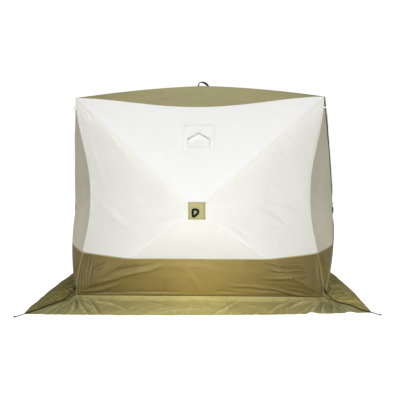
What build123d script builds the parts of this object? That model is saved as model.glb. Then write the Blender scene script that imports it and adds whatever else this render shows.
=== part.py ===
from build123d import *
import math
import os

# Plan and heights of the shelter, in millimetres, with Z = 0 on the ground.
base_width = 2100
seam_height = 37
corner_height = 1713
roof_hub_height = 2092
wall_hub_height = 781
side_hub_height = 715
wall_hub_reach = 400
band_top = 391

# How far the seams are drawn in from straight lines, and the rods flexed out.
corner_seam_draw = 96
eave_draw = 70
eave_dip = 68
upper_rod_flex = 6
lower_rod_flex = 34
roof_rod_flex = 16

# Cloth and its clearances.
cloth = 3
seam_gap = 0.8
patch_cloth = 2.4
lay_gap = 0.3

# Hub fittings and the square of cloth sewn over each.
hub_square = 50
patch_half = 65
patch_top_half = 32
patch_slope = 0.235
hub_radius = 48
hub_depth = 26
hub_boss_radius = 29

# Flexed rods and the boots that hold their outer ends.
rod_radius = 5.5
rod_cover = 12
rod_mid_cover = 18
rod_hub_end = 37
rod_boot_end = 16
boot_radius = 21
boot_cover = 31
boot_wall = 3.5
boot_socket = 44
rod_fit = 0.3

# Snow skirt.
skirt_corner_reach = 280
skirt_side_reach = 375
skirt_rise = 55
skirt_cloth = 3

# Vent in the front wall.
vent_height = 1352
vent_offset = 3
vent_patch_width = 256
vent_patch_height = 250
vent_hood_width = 190
vent_hood_rise = 56
vent_hood_leg = 82
vent_hood_reach = 34
vent_hole_inset = 16
vent_hole_leg = 74

# Zipped entrance in the rear half of the right wall.
door_near = 110
door_far = 800
door_foot = 130
door_head = 1440
door_corner = 300
zip_width = 24

# Pull loops of webbing.
loop_width = 52
loop_length = 66
loop_band = 12
loop_depth = 10
roof_loop_span = 112
roof_loop_band = 6
roof_loop_width = 28
roof_loop_turn = 35

# Webbing tabs on the corners and the ropes tied to the front pair.
tab_width = 24
tab_length = 46
tab_thick = 3
top_tab_drop = 90
rope_diameter = 7

half = base_width / 2
order = 4
walls = {"front": 0, "right": 90, "back": 180, "left": 270}
hub_heights = {
    "front": wall_hub_height,
    "right": side_hub_height,
    "back": wall_hub_height,
    "left": side_hub_height,
}
wall_sides = {
    "front": ("left", "right"),
    "right": ("front", "rear"),
    "back": ("right", "left"),
    "left": ("rear", "front"),
}


def blend(a, b, share):
    return a * (1 - share) + b * share


def raised(points):
    """The same curve with control points for the order that all the nets use."""
    while len(points) < order + 1:
        count = len(points)
        inner = [blend(points[i], points[i - 1], i / count) for i in range(1, count)]
        points = [points[0], *inner, points[-1]]
    return points


def bowed(start, end, bow):
    """A curve from start to end whose middle is moved by the vector bow."""
    return raised([start, (start + end) / 2 + bow * 2, end])


def drawn(start, end, draw):
    """A seam that leaves both ends straight and is drawn sideways in between."""
    points = [blend(start, end, i / order) for i in range(order + 1)]
    points[2] = points[2] + draw * (8 / 3)
    return points


def crossed(low, high, start, end):
    """Net of control points filled in from its four edges."""
    rows = []
    for j in range(order + 1):
        v = j / order
        row = []
        for i in range(order + 1):
            u = i / order
            across = blend(start[j], end[j], u)
            along = blend(low[i], high[i], v)
            flat = blend(blend(low[0], low[-1], u), blend(high[0], high[-1], u), v)
            row.append(across + along - flat)
        rows.append(row)
    return rows


def spread(corners):
    """Net of vectors blended between the values at its four corners."""
    near_start, near_end, far_start, far_end = corners
    rows = []
    for j in range(order + 1):
        first = blend(near_start, far_start, j / order)
        last = blend(near_end, far_end, j / order)
        rows.append([blend(first, last, i / order) for i in range(order + 1)])
    return rows


def moved(net, shifts, share=1.0):
    return [[p + s * share for p, s in zip(*rows)] for rows in zip(net, shifts)]


def away(edge_start, edge_end, inside, distance):
    """Step of a given length from an edge towards a point inside the panel."""
    line = (edge_end - edge_start).normalized()
    toward = inside - edge_start
    return (toward - line * toward.dot(line)).normalized() * distance


def closed(outer, inner):
    """Solid between two nets with the same layout."""
    edges = [
        (outer[0], inner[0]),
        (outer[-1], inner[-1]),
        ([row[0] for row in outer], [row[0] for row in inner]),
        ([row[-1] for row in outer], [row[-1] for row in inner]),
    ]
    sides = [Face.make_bezier_surface([list(a), list(b)]) for a, b in edges]
    skins = [Face.make_bezier_surface(outer), Face.make_bezier_surface(inner)]
    body = Solid(Shell(skins + sides))
    return body if body.volume > 0 else Solid(-body)


class Panel:
    """A triangular panel between a hub and one seam of the shelter."""

    def __init__(self, hub_edge, seam, rod_bows, hub_inward, seam_inward):
        low = raised(hub_edge)
        start = bowed(low[0], seam[0], rod_bows[0])
        end = bowed(low[-1], seam[-1], rod_bows[1])
        self.net = crossed(low, seam, start, end)
        middle = (low[0] + low[-1] + seam[0] + seam[-1]) / 4
        gap = seam_gap / 2
        from_start = away(start[0], start[-1], middle, gap)
        from_end = away(end[0], end[-1], middle, gap)
        from_hub = away(low[0], low[-1], middle, gap)
        from_seam = away(seam[0], seam[-1], middle, gap)
        self.shrink = spread(
            (
                from_start + from_hub,
                from_end + from_hub,
                from_start + from_seam,
                from_end + from_seam,
            )
        )
        self.inward = spread((hub_inward, hub_inward, *seam_inward))

    def layer(self, low, high):
        """Solid between two depths, counted inwards from the outer face."""
        base = moved(self.net, self.shrink)
        return closed(moved(base, self.inward, low), moved(base, self.inward, high))


def wall_panels(hub_height):
    """The four panels of the front wall, as seen from outside."""
    hub_out = -half - wall_hub_reach * (1 - hub_square / half)
    square = {
        (x, z): Vector(x * hub_square, hub_out, hub_height + z * hub_square)
        for x in (-1, 1)
        for z in (-1, 1)
    }
    base = {x: Vector(x * half, -half, seam_height) for x in (-1, 1)}
    top = {x: Vector(x * half, -half, corner_height) for x in (-1, 1)}
    base_in = {x: Vector(-x, 1, 0) for x in (-1, 1)}
    top_in = {x: Vector(-x, 1, -1) for x in (-1, 1)}
    hub_in = Vector(0, 1, 0)
    eave = drawn(top[-1], top[1], Vector(0, eave_draw, -eave_dip))
    foot = raised([base[-1], base[1]])
    posts = {
        x: drawn(base[x], top[x], Vector(-x, 1, 0) * corner_seam_draw) for x in (-1, 1)
    }
    upper = Vector(0, -upper_rod_flex, 0)
    lower = Vector(0, -lower_rod_flex, 0)
    return {
        "upper": Panel(
            [square[-1, 1], square[1, 1]],
            eave,
            (upper, upper),
            hub_in,
            (top_in[-1], top_in[1]),
        ),
        "lower": Panel(
            [square[-1, -1], square[1, -1]],
            foot,
            (lower, lower),
            hub_in,
            (base_in[-1], base_in[1]),
        ),
        "left": Panel(
            [square[-1, -1], square[-1, 1]],
            posts[-1],
            (lower, upper),
            hub_in,
            (base_in[-1], top_in[-1]),
        ),
        "right": Panel(
            [square[1, -1], square[1, 1]],
            posts[1],
            (lower, upper),
            hub_in,
            (base_in[1], top_in[1]),
        ),
    }


def roof_panel():
    """The front panel of the roof, from its hub down to the front eave."""
    rise = roof_hub_height - corner_height
    height = roof_hub_height - rise * hub_square / half
    square = [Vector(x * hub_square, -hub_square, height) for x in (-1, 1)]
    top = [Vector(x * half, -half, corner_height) for x in (-1, 1)]
    eave = drawn(top[0], top[1], Vector(0, eave_draw, -eave_dip))
    bow = Vector(0, 0, roof_rod_flex)
    corners = (Vector(1, 1, -1), Vector(-1, 1, -1))
    return Panel(square, eave, (bow, bow), Vector(0, 0, -1), corners)


def prism(outline):
    """Outline in X and Z run through the front wall along Y."""
    plane = Plane(origin=(0, -half / 2, 0), x_dir=(1, 0, 0), z_dir=(0, -1, 0))
    return extrude(plane * outline, amount=base_width)


def below(part, height):
    return part & Pos(0, 0, height - base_width) * Box(
        base_width * 3, base_width * 3, base_width * 2
    )


def above(part, height):
    return part & Pos(0, 0, height + base_width) * Box(
        base_width * 3, base_width * 3, base_width * 2
    )


def door_outline(grow):
    """Arched outline of the zipped entrance, grown or shrunk all round."""
    width = door_far - door_near + 2 * grow
    height = door_head - door_foot + 2 * grow
    middle = ((door_near + door_far) / 2, (door_head + door_foot) / 2)
    outline = Pos(*middle) * Rectangle(width, height)
    upper = outline.vertices().sort_by(Axis.Y)[-2:]
    outline = fillet(upper, door_corner + grow)
    lower = outline.vertices().sort_by(Axis.Y)[:2]
    return fillet(lower, zip_width * 2 + grow)


def gable(inset, leg):
    """Gable over two straight sides, as seen from the front."""
    side = vent_hood_width / 2 - inset
    slope = 2 * vent_hood_rise / vent_hood_width
    peak = vent_height + vent_hood_rise - inset * math.hypot(1, slope)
    eave = peak - slope * side
    low = vent_height - leg
    points = [(-side, low), (side, low), (side, eave), (0, peak), (-side, eave)]
    return Pos(vent_offset, 0) * make_face(Polyline(*points, close=True))


def hub_plane(name):
    """Plane on the outer face of the cloth at the edge of a hub's square."""
    if name == "roof":
        rise = (roof_hub_height - corner_height) * hub_square / half
        return Plane(origin=(0, 0, roof_hub_height - rise), x_dir=(1, 0, 0), z_dir=(0, 0, 1))
    height = hub_heights[name]
    out = -half - wall_hub_reach * (1 - hub_square / half)
    return Plane(origin=(0, out, height), x_dir=(1, 0, 0), z_dir=(0, -1, 0))


def hub_patch():
    """Square of cloth folded down over the hub like a low pyramid."""
    peak = (hub_square - patch_top_half) * patch_slope + lay_gap
    rim = peak - (patch_half - patch_top_half) * patch_slope
    skins = []
    for lift in (patch_cloth, 0):
        top = Plane.XY.offset(peak + lift) * Rectangle(2 * patch_top_half, 2 * patch_top_half)
        foot = Plane.XY.offset(rim + lift) * Rectangle(2 * patch_half, 2 * patch_half)
        skins.append(loft([foot, top]))
    return skins[0] - skins[1]


def patch_peak():
    return (hub_square - patch_top_half) * patch_slope + lay_gap


def hub_disc():
    """Moulded disc with a raised middle, centred below the patch."""
    disc = Pos(0, 0, lay_gap - hub_depth / 2) * Cylinder(hub_radius, hub_depth)
    boss_height = patch_peak() - lay_gap + hub_depth / 2
    middle = boss_height / 2 - hub_depth / 2
    return disc + Pos(0, 0, middle) * Cylinder(hub_boss_radius, boss_height)


def pull_loop():
    """D-shaped loop that hangs against the patch."""
    lift = patch_peak() + patch_cloth + lay_gap
    radius = loop_width / 2
    straight = loop_length - radius
    rings = []
    for inset in (0, loop_band):
        bar = Pos(0, straight / 2 - inset / 2) * Rectangle(
            loop_width - 2 * inset, straight - inset
        )
        rings.append(bar + Circle(radius - inset))
    ring = extrude(rings[0] - rings[1], amount=loop_depth)
    ring = fillet(ring.edges().filter_by(Axis.Z).group_by(Axis.Y)[-1], loop_band / 2)
    return Pos(0, -loop_length / 3, lift) * ring


def roof_loop():
    """Half-round arch of webbing sewn down at both ends over the roof hub."""
    radius = roof_loop_span / 2
    slant = math.radians(45 - roof_loop_turn)
    nearest = (radius - roof_loop_band) / math.cos(slant) / math.sqrt(2)
    drop = (nearest - patch_top_half) * patch_slope
    arch = Circle(radius) - Circle(radius - roof_loop_band)
    arch &= Pos(0, radius) * Rectangle(2 * radius, 2 * radius)
    band = extrude(Plane.XZ * arch, amount=roof_loop_width / 2, both=True)
    lift = patch_peak() + patch_cloth + lay_gap - drop
    return Pos(0, 0, lift) * Rot(0, 0, roof_loop_turn) * band


def tube(path, radius):
    return sweep(Plane(origin=path @ 0, z_dir=path % 0) * Circle(radius), path=path)


def rod_path(hub, square_corner, corner, bow, inward, seat):
    """Arc of a flexed rod from its hub to the boot in a corner of the cloth."""
    near = square_corner + inward * rod_cover
    middle = (square_corner + corner) / 2 + bow + inward * rod_mid_cover
    spare = (square_corner - hub).length - rod_hub_end
    start = near + (near - middle).normalized() * spare
    end = seat + (middle - seat).normalized() * rod_boot_end
    return ThreePointArc(start, middle, end)


def boot_centre(corner):
    """Middle of the boot inside a corner of the cloth."""
    x = math.copysign(half - boot_cover, corner.X)
    y = math.copysign(half - boot_cover, corner.Y)
    lift = -boot_cover if corner.Z == corner_height else boot_cover
    return Vector(x, y, corner.Z + lift)


def wall_rod_paths(hub_height):
    """The four rods of the front wall, by side and by end."""
    hub_out = -half - wall_hub_reach * (1 - hub_square / half)
    hub = Vector(0, hub_out, hub_height)
    paths = {}
    for x in (-1, 1):
        for z, height in ((-1, seam_height), (1, corner_height)):
            square = hub + Vector(x, 0, z) * hub_square
            corner = Vector(x * half, -half, height)
            bow = Vector(0, -(upper_rod_flex if z > 0 else lower_rod_flex), 0)
            inward = Vector(0, 1, 0)
            paths[x, z] = rod_path(hub, square, corner, bow, inward, boot_centre(corner))
    return paths


def roof_rod_paths():
    """The four rods of the roof, by side and by front or back."""
    rise = (roof_hub_height - corner_height) * hub_square / half
    hub = Vector(0, 0, roof_hub_height - rise)
    bow = Vector(0, 0, roof_rod_flex)
    paths = {}
    for x in (-1, 1):
        for y in (-1, 1):
            square = hub + Vector(x, y, 0) * hub_square
            corner = Vector(x * half, y * half, corner_height)
            inward = Vector(0, 0, -1)
            paths[x, y] = rod_path(hub, square, corner, bow, inward, boot_centre(corner))
    return paths


def rod_bore(start, direction, radius, length):
    aim = Plane(origin=start, z_dir=direction)
    return aim * Cylinder(radius, length, align=(Align.CENTER, Align.CENTER, Align.MIN))


def boot(centre, paths):
    """Rubber ball with a bored socket for each rod."""
    ball = Plane(origin=centre, x_dir=(-1, -1, 0), z_dir=(1, -1, 0)) * Sphere(boot_radius)
    bores = []
    for path in paths:
        end = path @ 1
        back = (path % 1) * -1
        outer = rod_radius + rod_fit + boot_wall
        ball += rod_bore(end - back * rod_boot_end, back, outer, boot_socket)
        bores.append(rod_bore(end - back * rod_fit, back, rod_radius + rod_fit, boot_socket))
    for bore in bores:
        ball -= bore
    return ball


def hub_fitting(plane, paths):
    """Hub disc with an open channel for the inner end of each rod."""
    body = plane * hub_disc()
    radius = rod_radius + rod_fit
    for path in paths:
        along = path % 0
        start = path @ 0 - along * rod_fit
        aim = Plane(origin=start, x_dir=plane.z_dir.cross(along), z_dir=along)
        channel = Circle(radius) + Pos(0, hub_depth / 2) * Rectangle(2 * radius, hub_depth)
        body -= extrude(aim * channel, amount=hub_radius)
    return body


def skirt_flap():
    """Front flap of the snow skirt: a short slope and then flat on the ground."""
    foot = half + skirt_rise
    reach = half + skirt_side_reach
    corner = half + skirt_corner_reach
    top = seam_height - lay_gap
    section = make_face(
        Polyline(
            (-half, top),
            (cloth - half, top),
            (cloth - foot, 0),
            (-reach - cloth, 0),
            (-reach - cloth, skirt_cloth),
            (-foot - cloth, skirt_cloth),
            close=True,
        )
    )
    strip = extrude(Plane.YZ * section, amount=reach, both=True)
    inner = half - 2 * cloth
    outline = [
        Line((-inner + lay_gap, -inner), (-corner + lay_gap, -corner)),
        ThreePointArc((-corner + lay_gap, -corner), (0, -reach), (corner - lay_gap, -corner)),
        Line((corner - lay_gap, -corner), (inner - lay_gap, -inner)),
        Line((inner - lay_gap, -inner), (-inner + lay_gap, -inner)),
    ]
    return strip & extrude(make_face(outline), amount=base_width)


def seam_inset(height):
    """How far a corner seam is drawn in along X, and along Y, at a height."""
    share = (height - seam_height) / (corner_height - seam_height)
    return corner_seam_draw * 16 * (share * (1 - share)) ** 2


def corner_tab():
    """Upright tab of webbing on the base corner at -X, -Y, with an eyelet."""
    low = seam_height + tab_length
    plane = Plane(origin=(-half, -half, 0), x_dir=(-1, -1, 0), z_dir=(-1, 1, 0))
    near = [lay_gap - math.sqrt(2) * seam_inset(z) for z in (low, low + tab_length)]
    outline = Polyline(
        (near[0], low),
        (near[1], low + tab_length),
        (tab_width, low - tab_width / 4),
        (tab_width, low - tab_width),
        close=True,
    )
    eyelet = Pos(tab_width * 3 / 4, low - tab_width / 2) * Circle(rope_diameter / 2)
    return extrude(plane * (make_face(outline) - eyelet), amount=tab_thick / 2, both=True)


def top_tab():
    """Small loop of webbing standing out below the top corner at -X, -Y."""
    radius = tab_width / 2
    height = corner_height - top_tab_drop
    out = (radius + seam_gap) / math.sqrt(2) - seam_inset(height)
    ring = Circle(radius) - Circle(radius - tab_thick)
    place = Pos(-half - out, -half - out, height)
    return place * extrude(ring, amount=tab_width / 4, both=True)


right_rope_points = [
    (1070, -1070, 67),
    (1092, -1082, 44),
    (1118, -1087, 22),
    (1144, -1094, 9),
    (1172, -1120, 7.6),
    (1206, -1150, 7.6),
    (1235, -1182, 7.6),
    (1249, -1226, 7.6),
    (1259, -1268, 7.6),
    (1288, -1302, 7.4),
    (1330, -1338, 6.4),
    (1362, -1385, 5),
]
left_rope_points = [
    (-1071, -1070, 67),
    (-1095, -1088, 44),
    (-1123, -1110, 20),
    (-1150, -1136, 8.4),
    (-1172, -1168, 7.6),
    (-1192, -1217, 7.6),
    (-1214, -1272, 7.6),
    (-1236, -1330, 7.6),
    (-1264, -1388, 7),
    (-1296, -1444, 5.8),
    (-1330, -1500, 5),
]


def rope(points):
    """Rope laid along straight runs joined by arcs as large as they allow."""
    spots = [Vector(*p) for p in points]
    runs = [b - a for a, b in zip(spots, spots[1:])]
    radii = []
    for before, after in zip(runs, runs[1:]):
        turn = math.radians(before.get_angle(after))
        radii.append(0.45 * min(before.length, after.length) / math.tan(turn / 2))
    path = FilletPolyline(*spots, radius=radii)
    body = tube(path, rope_diameter / 2)
    section = math.pi * (rope_diameter / 2) ** 2
    print("rope length", round(path.length), "radii", [round(r) for r in radii])
    print("rope volume share", round(body.volume / (section * path.length), 4))
    return body


def rope_knot(points):
    radius = rope_diameter * 1.25
    last = Vector(*points[-1])
    run = (last - Vector(*points[-2])).normalized()
    centre = last + run * (radius + lay_gap / 2)
    return Pos(centre.X, centre.Y, radius + lay_gap) * Sphere(radius)


def write(name, solids):
    parts = [solid for shape in solids if shape for solid in shape.solids()]
    export_step(Compound(parts), f"parts/{name}.step")


def turned(shape, name):
    """The shape carried round from the front wall to a named wall."""
    return shape.rotate(Axis.Z, walls[name]) if shape else None


os.makedirs("parts", exist_ok=True)
door_hole = prism(door_outline(seam_gap / 2))
door_fill = prism(door_outline(-seam_gap / 2))
for name in walls:
    panels = wall_panels(hub_heights[name])
    cloths = {key: panel.layer(0, cloth) for key, panel in panels.items()}
    if name == "right":
        write("entrance_flap", [turned(c & door_fill, name) for c in cloths.values()])
        cloths = {key: c - door_hole for key, c in cloths.items()}
        tape = prism(door_outline(zip_width / 2)) - prism(door_outline(-zip_width / 2))
        zips = [p.layer(-lay_gap - patch_cloth, -lay_gap) & tape for p in panels.values()]
        write("entrance_zip", [turned(z, name) for z in zips if z])
    if name == "front":
        hole = prism(gable(vent_hole_inset, vent_hole_leg))
        mesh_gap = seam_gap / 4
        mesh = prism(gable(vent_hole_inset + mesh_gap, vent_hole_leg - mesh_gap))
        upper = panels["upper"]
        cloths["upper"] -= hole
        write("vent_mesh", [upper.layer(seam_gap, cloth - seam_gap) & mesh])
        square = Pos(vent_offset, vent_height) * Rectangle(vent_patch_width, vent_patch_height)
        patch = prism(square) - hole
        write("vent_patch", [upper.layer(-lay_gap - patch_cloth, -lay_gap) & patch])
        hood = prism(gable(0, vent_hood_leg)) - prism(gable(patch_cloth, 2 * vent_hood_leg))
        face = -2 * lay_gap - patch_cloth
        write("vent_hood", [upper.layer(face - vent_hood_reach, face) & hood])
    for key, side in zip(("left", "right"), wall_sides[name]):
        write(f"{name}_{side}_panel", [turned(above(cloths[key], band_top + seam_gap / 2), name)])
    write(f"{name}_upper_panel", [turned(cloths["upper"], name)])
    write(
        f"{name}_lower_panel",
        [turned(above(cloths["lower"], band_top + seam_gap / 2), name)],
    )
    band = [below(cloths[k], band_top - seam_gap / 2) for k in ("left", "lower", "right")]
    write(f"{name}_base_band", [turned(piece, name) for piece in band])
    paths = wall_rod_paths(hub_heights[name]).values()
    write(f"{name}_rods", [turned(tube(path, rod_radius), name) for path in paths])
    write(f"{name}_skirt", [turned(skirt_flap(), name)])

roof = roof_panel().layer(0, cloth)
for name in walls:
    write(f"roof_{name}_panel", [turned(roof, name)])
write("roof_rods", [tube(path, rod_radius) for path in roof_rod_paths().values()])

fittings = []
side_patches = []
side_loops = []
for name in walls:
    plane = hub_plane(name)
    paths = wall_rod_paths(hub_heights[name]).values()
    fittings.append(turned(hub_fitting(plane, paths), name))
    patch = turned(plane * hub_patch(), name)
    loop = turned(plane * pull_loop(), name)
    if name == "front":
        write("front_hub_patch", [patch])
        write("front_pull_loop", [loop])
    else:
        side_patches.append(patch)
        side_loops.append(loop)
plane = hub_plane("roof")
fittings.append(hub_fitting(plane, roof_rod_paths().values()))
write("hub_fittings", fittings)
write("side_hub_patches", side_patches)
write("side_pull_loops", side_loops)
write("roof_hub_patch", [plane * hub_patch()])
write("roof_pull_loop", [plane * roof_loop()])

for end, label in ((1, "top"), (-1, "base")):
    front = wall_rod_paths(hub_heights["front"])[-1, end]
    side = mirror(wall_rod_paths(hub_heights["left"])[-1, end], Plane((0, 0, 0), z_dir=(1, -1, 0)))
    meeting = [front, side]
    if end > 0:
        meeting.append(roof_rod_paths()[-1, -1])
    corner = Vector(-half, -half, corner_height if end > 0 else seam_height)
    one = boot(boot_centre(corner), meeting)
    pair = [one, mirror(one, Plane.YZ)]
    write(f"{label}_corner_boots", pair + [mirror(piece, Plane.XZ) for piece in pair])
write("corner_tabs", [turned(corner_tab(), name) for name in walls])
write("top_corner_tabs", [turned(top_tab(), name) for name in walls])

write("right_rope", [rope(right_rope_points)])
write("left_rope", [rope(left_rope_points)])
write("rope_knots", [rope_knot(right_rope_points), rope_knot(left_rope_points)])
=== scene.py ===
import math
import bpy
import bmesh
import numpy as np
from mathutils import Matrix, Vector
from mathutils.bvhtree import BVHTree


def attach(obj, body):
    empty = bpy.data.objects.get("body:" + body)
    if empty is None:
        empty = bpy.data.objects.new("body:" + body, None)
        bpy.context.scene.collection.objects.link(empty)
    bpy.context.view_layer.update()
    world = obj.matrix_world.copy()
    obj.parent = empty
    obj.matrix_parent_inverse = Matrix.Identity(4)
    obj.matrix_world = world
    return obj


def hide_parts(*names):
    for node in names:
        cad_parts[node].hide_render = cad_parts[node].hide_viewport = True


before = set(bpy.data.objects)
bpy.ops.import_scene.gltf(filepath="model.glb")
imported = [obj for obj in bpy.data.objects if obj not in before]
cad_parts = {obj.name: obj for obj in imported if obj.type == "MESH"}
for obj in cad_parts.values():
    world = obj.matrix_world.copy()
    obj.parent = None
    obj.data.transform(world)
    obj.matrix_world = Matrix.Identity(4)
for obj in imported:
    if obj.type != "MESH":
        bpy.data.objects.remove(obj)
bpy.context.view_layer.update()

mm = 0.001
print("stage: frame loaded")

cameraView = {
    "place": (0.134, -4.20, 0.9685),
    "aim": (0.048, -1.05, 0.9685),
    "lens": 33.53,
    "sensor": 36,
    "shiftX": -0.0114,
    "shiftY": -0.0360,
    "clipEnd": 100,
}


# A new object in the scene, turned to look at its aim if it has one.
def addObject(name, data, place=None, aim=None):
    made = bpy.data.objects.new(name, data)
    bpy.context.collection.objects.link(made)
    if place is not None:
        made.location = place
        made.rotation_euler = (Vector(aim) - Vector(place)).to_track_quat("-Z", "Y").to_euler()
    return made


def makeCamera(view):
    data = bpy.data.cameras.new("studioCamera")
    data.lens = view["lens"]
    data.sensor_width = view["sensor"]
    data.sensor_fit = "HORIZONTAL"
    data.shift_x = view["shiftX"]
    data.shift_y = view["shiftY"]
    data.clip_end = view["clipEnd"]
    bpy.context.scene.camera = addObject("studioCamera", data, view["place"], view["aim"])


makeCamera(cameraView)


def addNode(tree, kind, **values):
    node = tree.nodes.new(kind)
    for key, value in values.items():
        setattr(node, key, value)
    return node


# Adds nodes to one material and links them.
class Maker:
    def __init__(self, name):
        self.material = bpy.data.materials.new(name)
        self.material.use_nodes = True
        self.tree = self.material.node_tree
        self.shader = self.tree.nodes["Principled BSDF"]

    def add(self, kind, **values):
        return addNode(self.tree, kind, **values)

    def link(self, source, target):
        self.tree.links.new(source, target)

    def coords(self, scale=(1, 1, 1), turn=(0, 0, 0), uv=False):
        where = self.add("ShaderNodeTexCoord")
        mapping = self.add("ShaderNodeMapping")
        mapping.inputs["Scale"].default_value = scale
        mapping.inputs["Rotation"].default_value = turn
        self.link(where.outputs["UV" if uv else "Object"], mapping.inputs["Vector"])
        return mapping.outputs["Vector"]

    def texture(self, kind, vector, inputs, **values):
        node = self.add(kind, **values)
        for key, value in inputs.items():
            node.inputs[key].default_value = value
        self.link(vector, node.inputs["Vector"])
        return node.outputs["Fac"]

    def noise(self, vector, scale, detail=3.0, rough=0.5, twist=0.0):
        inputs = {"Scale": scale, "Detail": detail, "Roughness": rough, "Distortion": twist}
        return self.texture("ShaderNodeTexNoise", vector, inputs)

    def wave(self, vector, scale, direction, twist=0.0):
        inputs = {"Scale": scale, "Distortion": twist}
        return self.texture("ShaderNodeTexWave", vector, inputs, wave_type="BANDS", bands_direction=direction)

    def math(self, kind, first, second):
        node = self.add("ShaderNodeMath", operation=kind)
        for slot, value in zip(node.inputs, (first, second)):
            if isinstance(value, (int, float)):
                slot.default_value = value
            else:
                self.link(value, slot)
        return node.outputs[0]

    def ramp(self, value, stops):
        node = self.add("ShaderNodeValToRGB")
        points = node.color_ramp.elements
        while len(points) < len(stops):
            points.new(0.5)
        for point, (place, colour) in zip(points, stops):
            point.position = place
            point.color = (*colour, 1)
        self.link(value, node.inputs["Fac"])
        return node.outputs["Color"]

    def mix(self, share, first, second, kind="MIX"):
        node = self.add("ShaderNodeMix", data_type="RGBA", blend_type=kind)
        for index, value in ((0, share), (6, first), (7, second)):
            if isinstance(value, (int, float)):
                node.inputs[index].default_value = value
            elif isinstance(value, tuple):
                node.inputs[index].default_value = (*value, 1)
            else:
                self.link(value, node.inputs[index])
        return node.outputs[2]

    def bump(self, height, distance, strength=1.0, after=None):
        node = self.add("ShaderNodeBump")
        node.inputs["Distance"].default_value = distance
        node.inputs["Strength"].default_value = strength
        self.link(height, node.inputs["Height"])
        if after is not None:
            self.link(after, node.inputs["Normal"])
        return node.outputs["Normal"]


clothLooks = {
    # colour, colour where it is worn, crease depth in metres, roughness, sheen, shine
    "whiteCloth": ((0.912, 0.908, 0.846), (0.890, 0.884, 0.820), 0.0010, 0.70, 0.10, 0.16),
    # painted light: a brighter, cooler copy of the white cloth for the upper panels, which face the light
    "litTopCloth": ((0.935, 0.933, 0.915), (0.918, 0.914, 0.892), 0.0010, 0.70, 0.10, 0.16),
    # painted shade: a darker, warmer copy of the white cloth for the side panels of the left and right walls
    "shadedWhiteCloth": ((0.905, 0.850, 0.660), (0.860, 0.802, 0.610), 0.0012, 0.70, 0.10, 0.14),
    "oliveCloth": ((0.305, 0.232, 0.066), (0.250, 0.188, 0.052), 0.0020, 0.46, 0.03, 0.40),
    # painted light: a much brighter copy of the olive cloth for the front band, which faces the lights
    "litFrontBandCloth": ((0.560, 0.425, 0.136), (0.490, 0.368, 0.114), 0.0020, 0.44, 0.03, 0.45),
    "roofCloth": ((0.306, 0.268, 0.088), (0.270, 0.234, 0.074), 0.0018, 0.62, 0.02, 0.25),
    "skirtCloth": ((0.530, 0.450, 0.172), (0.412, 0.350, 0.122), 0.0034, 0.45, 0.04, 0.40),
    # painted light: a much brighter copy of the skirt cloth for the front flap, making up for the wall's shadow
    # on it
    "litFrontSkirtCloth": ((0.960, 0.870, 0.365), (0.820, 0.735, 0.290), 0.0046, 0.45, 0.04, 0.40),
    # painted shade: a darker copy of the skirt cloth for the left flap
    "shadedSideSkirtCloth": ((0.330, 0.278, 0.080), (0.225, 0.186, 0.052), 0.0060, 0.50, 0.03, 0.25),
    # painted shade: a copy of the skirt cloth for the right flap, darker in its worn tone and its creases
    "shadedRightSkirtCloth": ((0.530, 0.450, 0.150), (0.360, 0.300, 0.096), 0.0060, 0.50, 0.03, 0.25),
    "patchCloth": ((0.540, 0.490, 0.232), (0.450, 0.405, 0.180), 0.0008, 0.70, 0.08, 0.16),
    "tapeCloth": ((0.945, 0.943, 0.922), (0.915, 0.911, 0.884), 0.0006, 0.75, 0.10, 0.12),
    "oliveTape": ((0.315, 0.245, 0.090), (0.260, 0.200, 0.070), 0.0006, 0.70, 0.06, 0.16),
    # painted shadow: a near-black tape for strips that stand in for shade, on the right wall's upper rod seams
    # and under the base seam
    "paintedShadowTape": ((0.120, 0.094, 0.034), (0.085, 0.066, 0.024), 0.0006, 0.75, 0.02, 0.10),
    # painted light: a lighter copy of the olive tape, matching the painted light of the front band
    "bandTape": ((0.470, 0.357, 0.114), (0.420, 0.316, 0.098), 0.0006, 0.60, 0.04, 0.20),
    # painted light: a lighter copy of the olive tape, standing in for olive cloth lit at a grazing angle
    "litOliveTape": ((0.450, 0.378, 0.148), (0.375, 0.312, 0.120), 0.0006, 0.70, 0.05, 0.16),
    "paleTape": ((0.62, 0.55, 0.28), (0.52, 0.45, 0.22), 0.0005, 0.70, 0.08, 0.16),
    "meshCloth": ((0.930, 0.932, 0.910), (0.87, 0.87, 0.845), 0.0004, 0.80, 0.05, 0.10),
}
# Painted light and shade: how light a cloth's colour is painted along X, Y or Z away from the middle, darker
# where less light falls: place in metres, share.
paintedShadeRamps = {
    "litFrontBandCloth": [(0, [(0.10, 1.0), (0.62, 0.66), (0.93, 0.45)])],
    "bandTape": [(0, [(0.10, 1.0), (0.62, 0.66), (0.93, 0.45)])],
    "litFrontSkirtCloth": [(0, [(0.15, 1.0), (0.75, 0.69), (0.98, 0.60), (1.15, 0.47)])],
    # painted shade on the olive tape, matching the front band's
    "oliveTape": [(0, [(0.10, 1.0), (0.62, 0.66), (0.93, 0.40)])],
    "shadedWhiteCloth": [(1, [(0.66, 1.0), (0.94, 0.86)]), (2, [(0.70, 1.0), (1.25, 0.86)])],
}
# Painted shade in the creases and painted light on the ridges, read from the mesh's pointiness: share of its
# colour that a cloth keeps down in its creases, in the flat and on its ridges.
paintedCreaseShades = {
    "litFrontBandCloth": (0.42, 0.84, 1.0),
    "oliveCloth": (0.50, 0.86, 1.0),
    "litFrontSkirtCloth": (0.50, 0.87, 1.0),
    "shadedSideSkirtCloth": (0.35, 0.80, 1.0),
    "shadedRightSkirtCloth": (0.35, 0.80, 1.0),
    "skirtCloth": (0.45, 0.84, 1.0),
}


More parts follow.
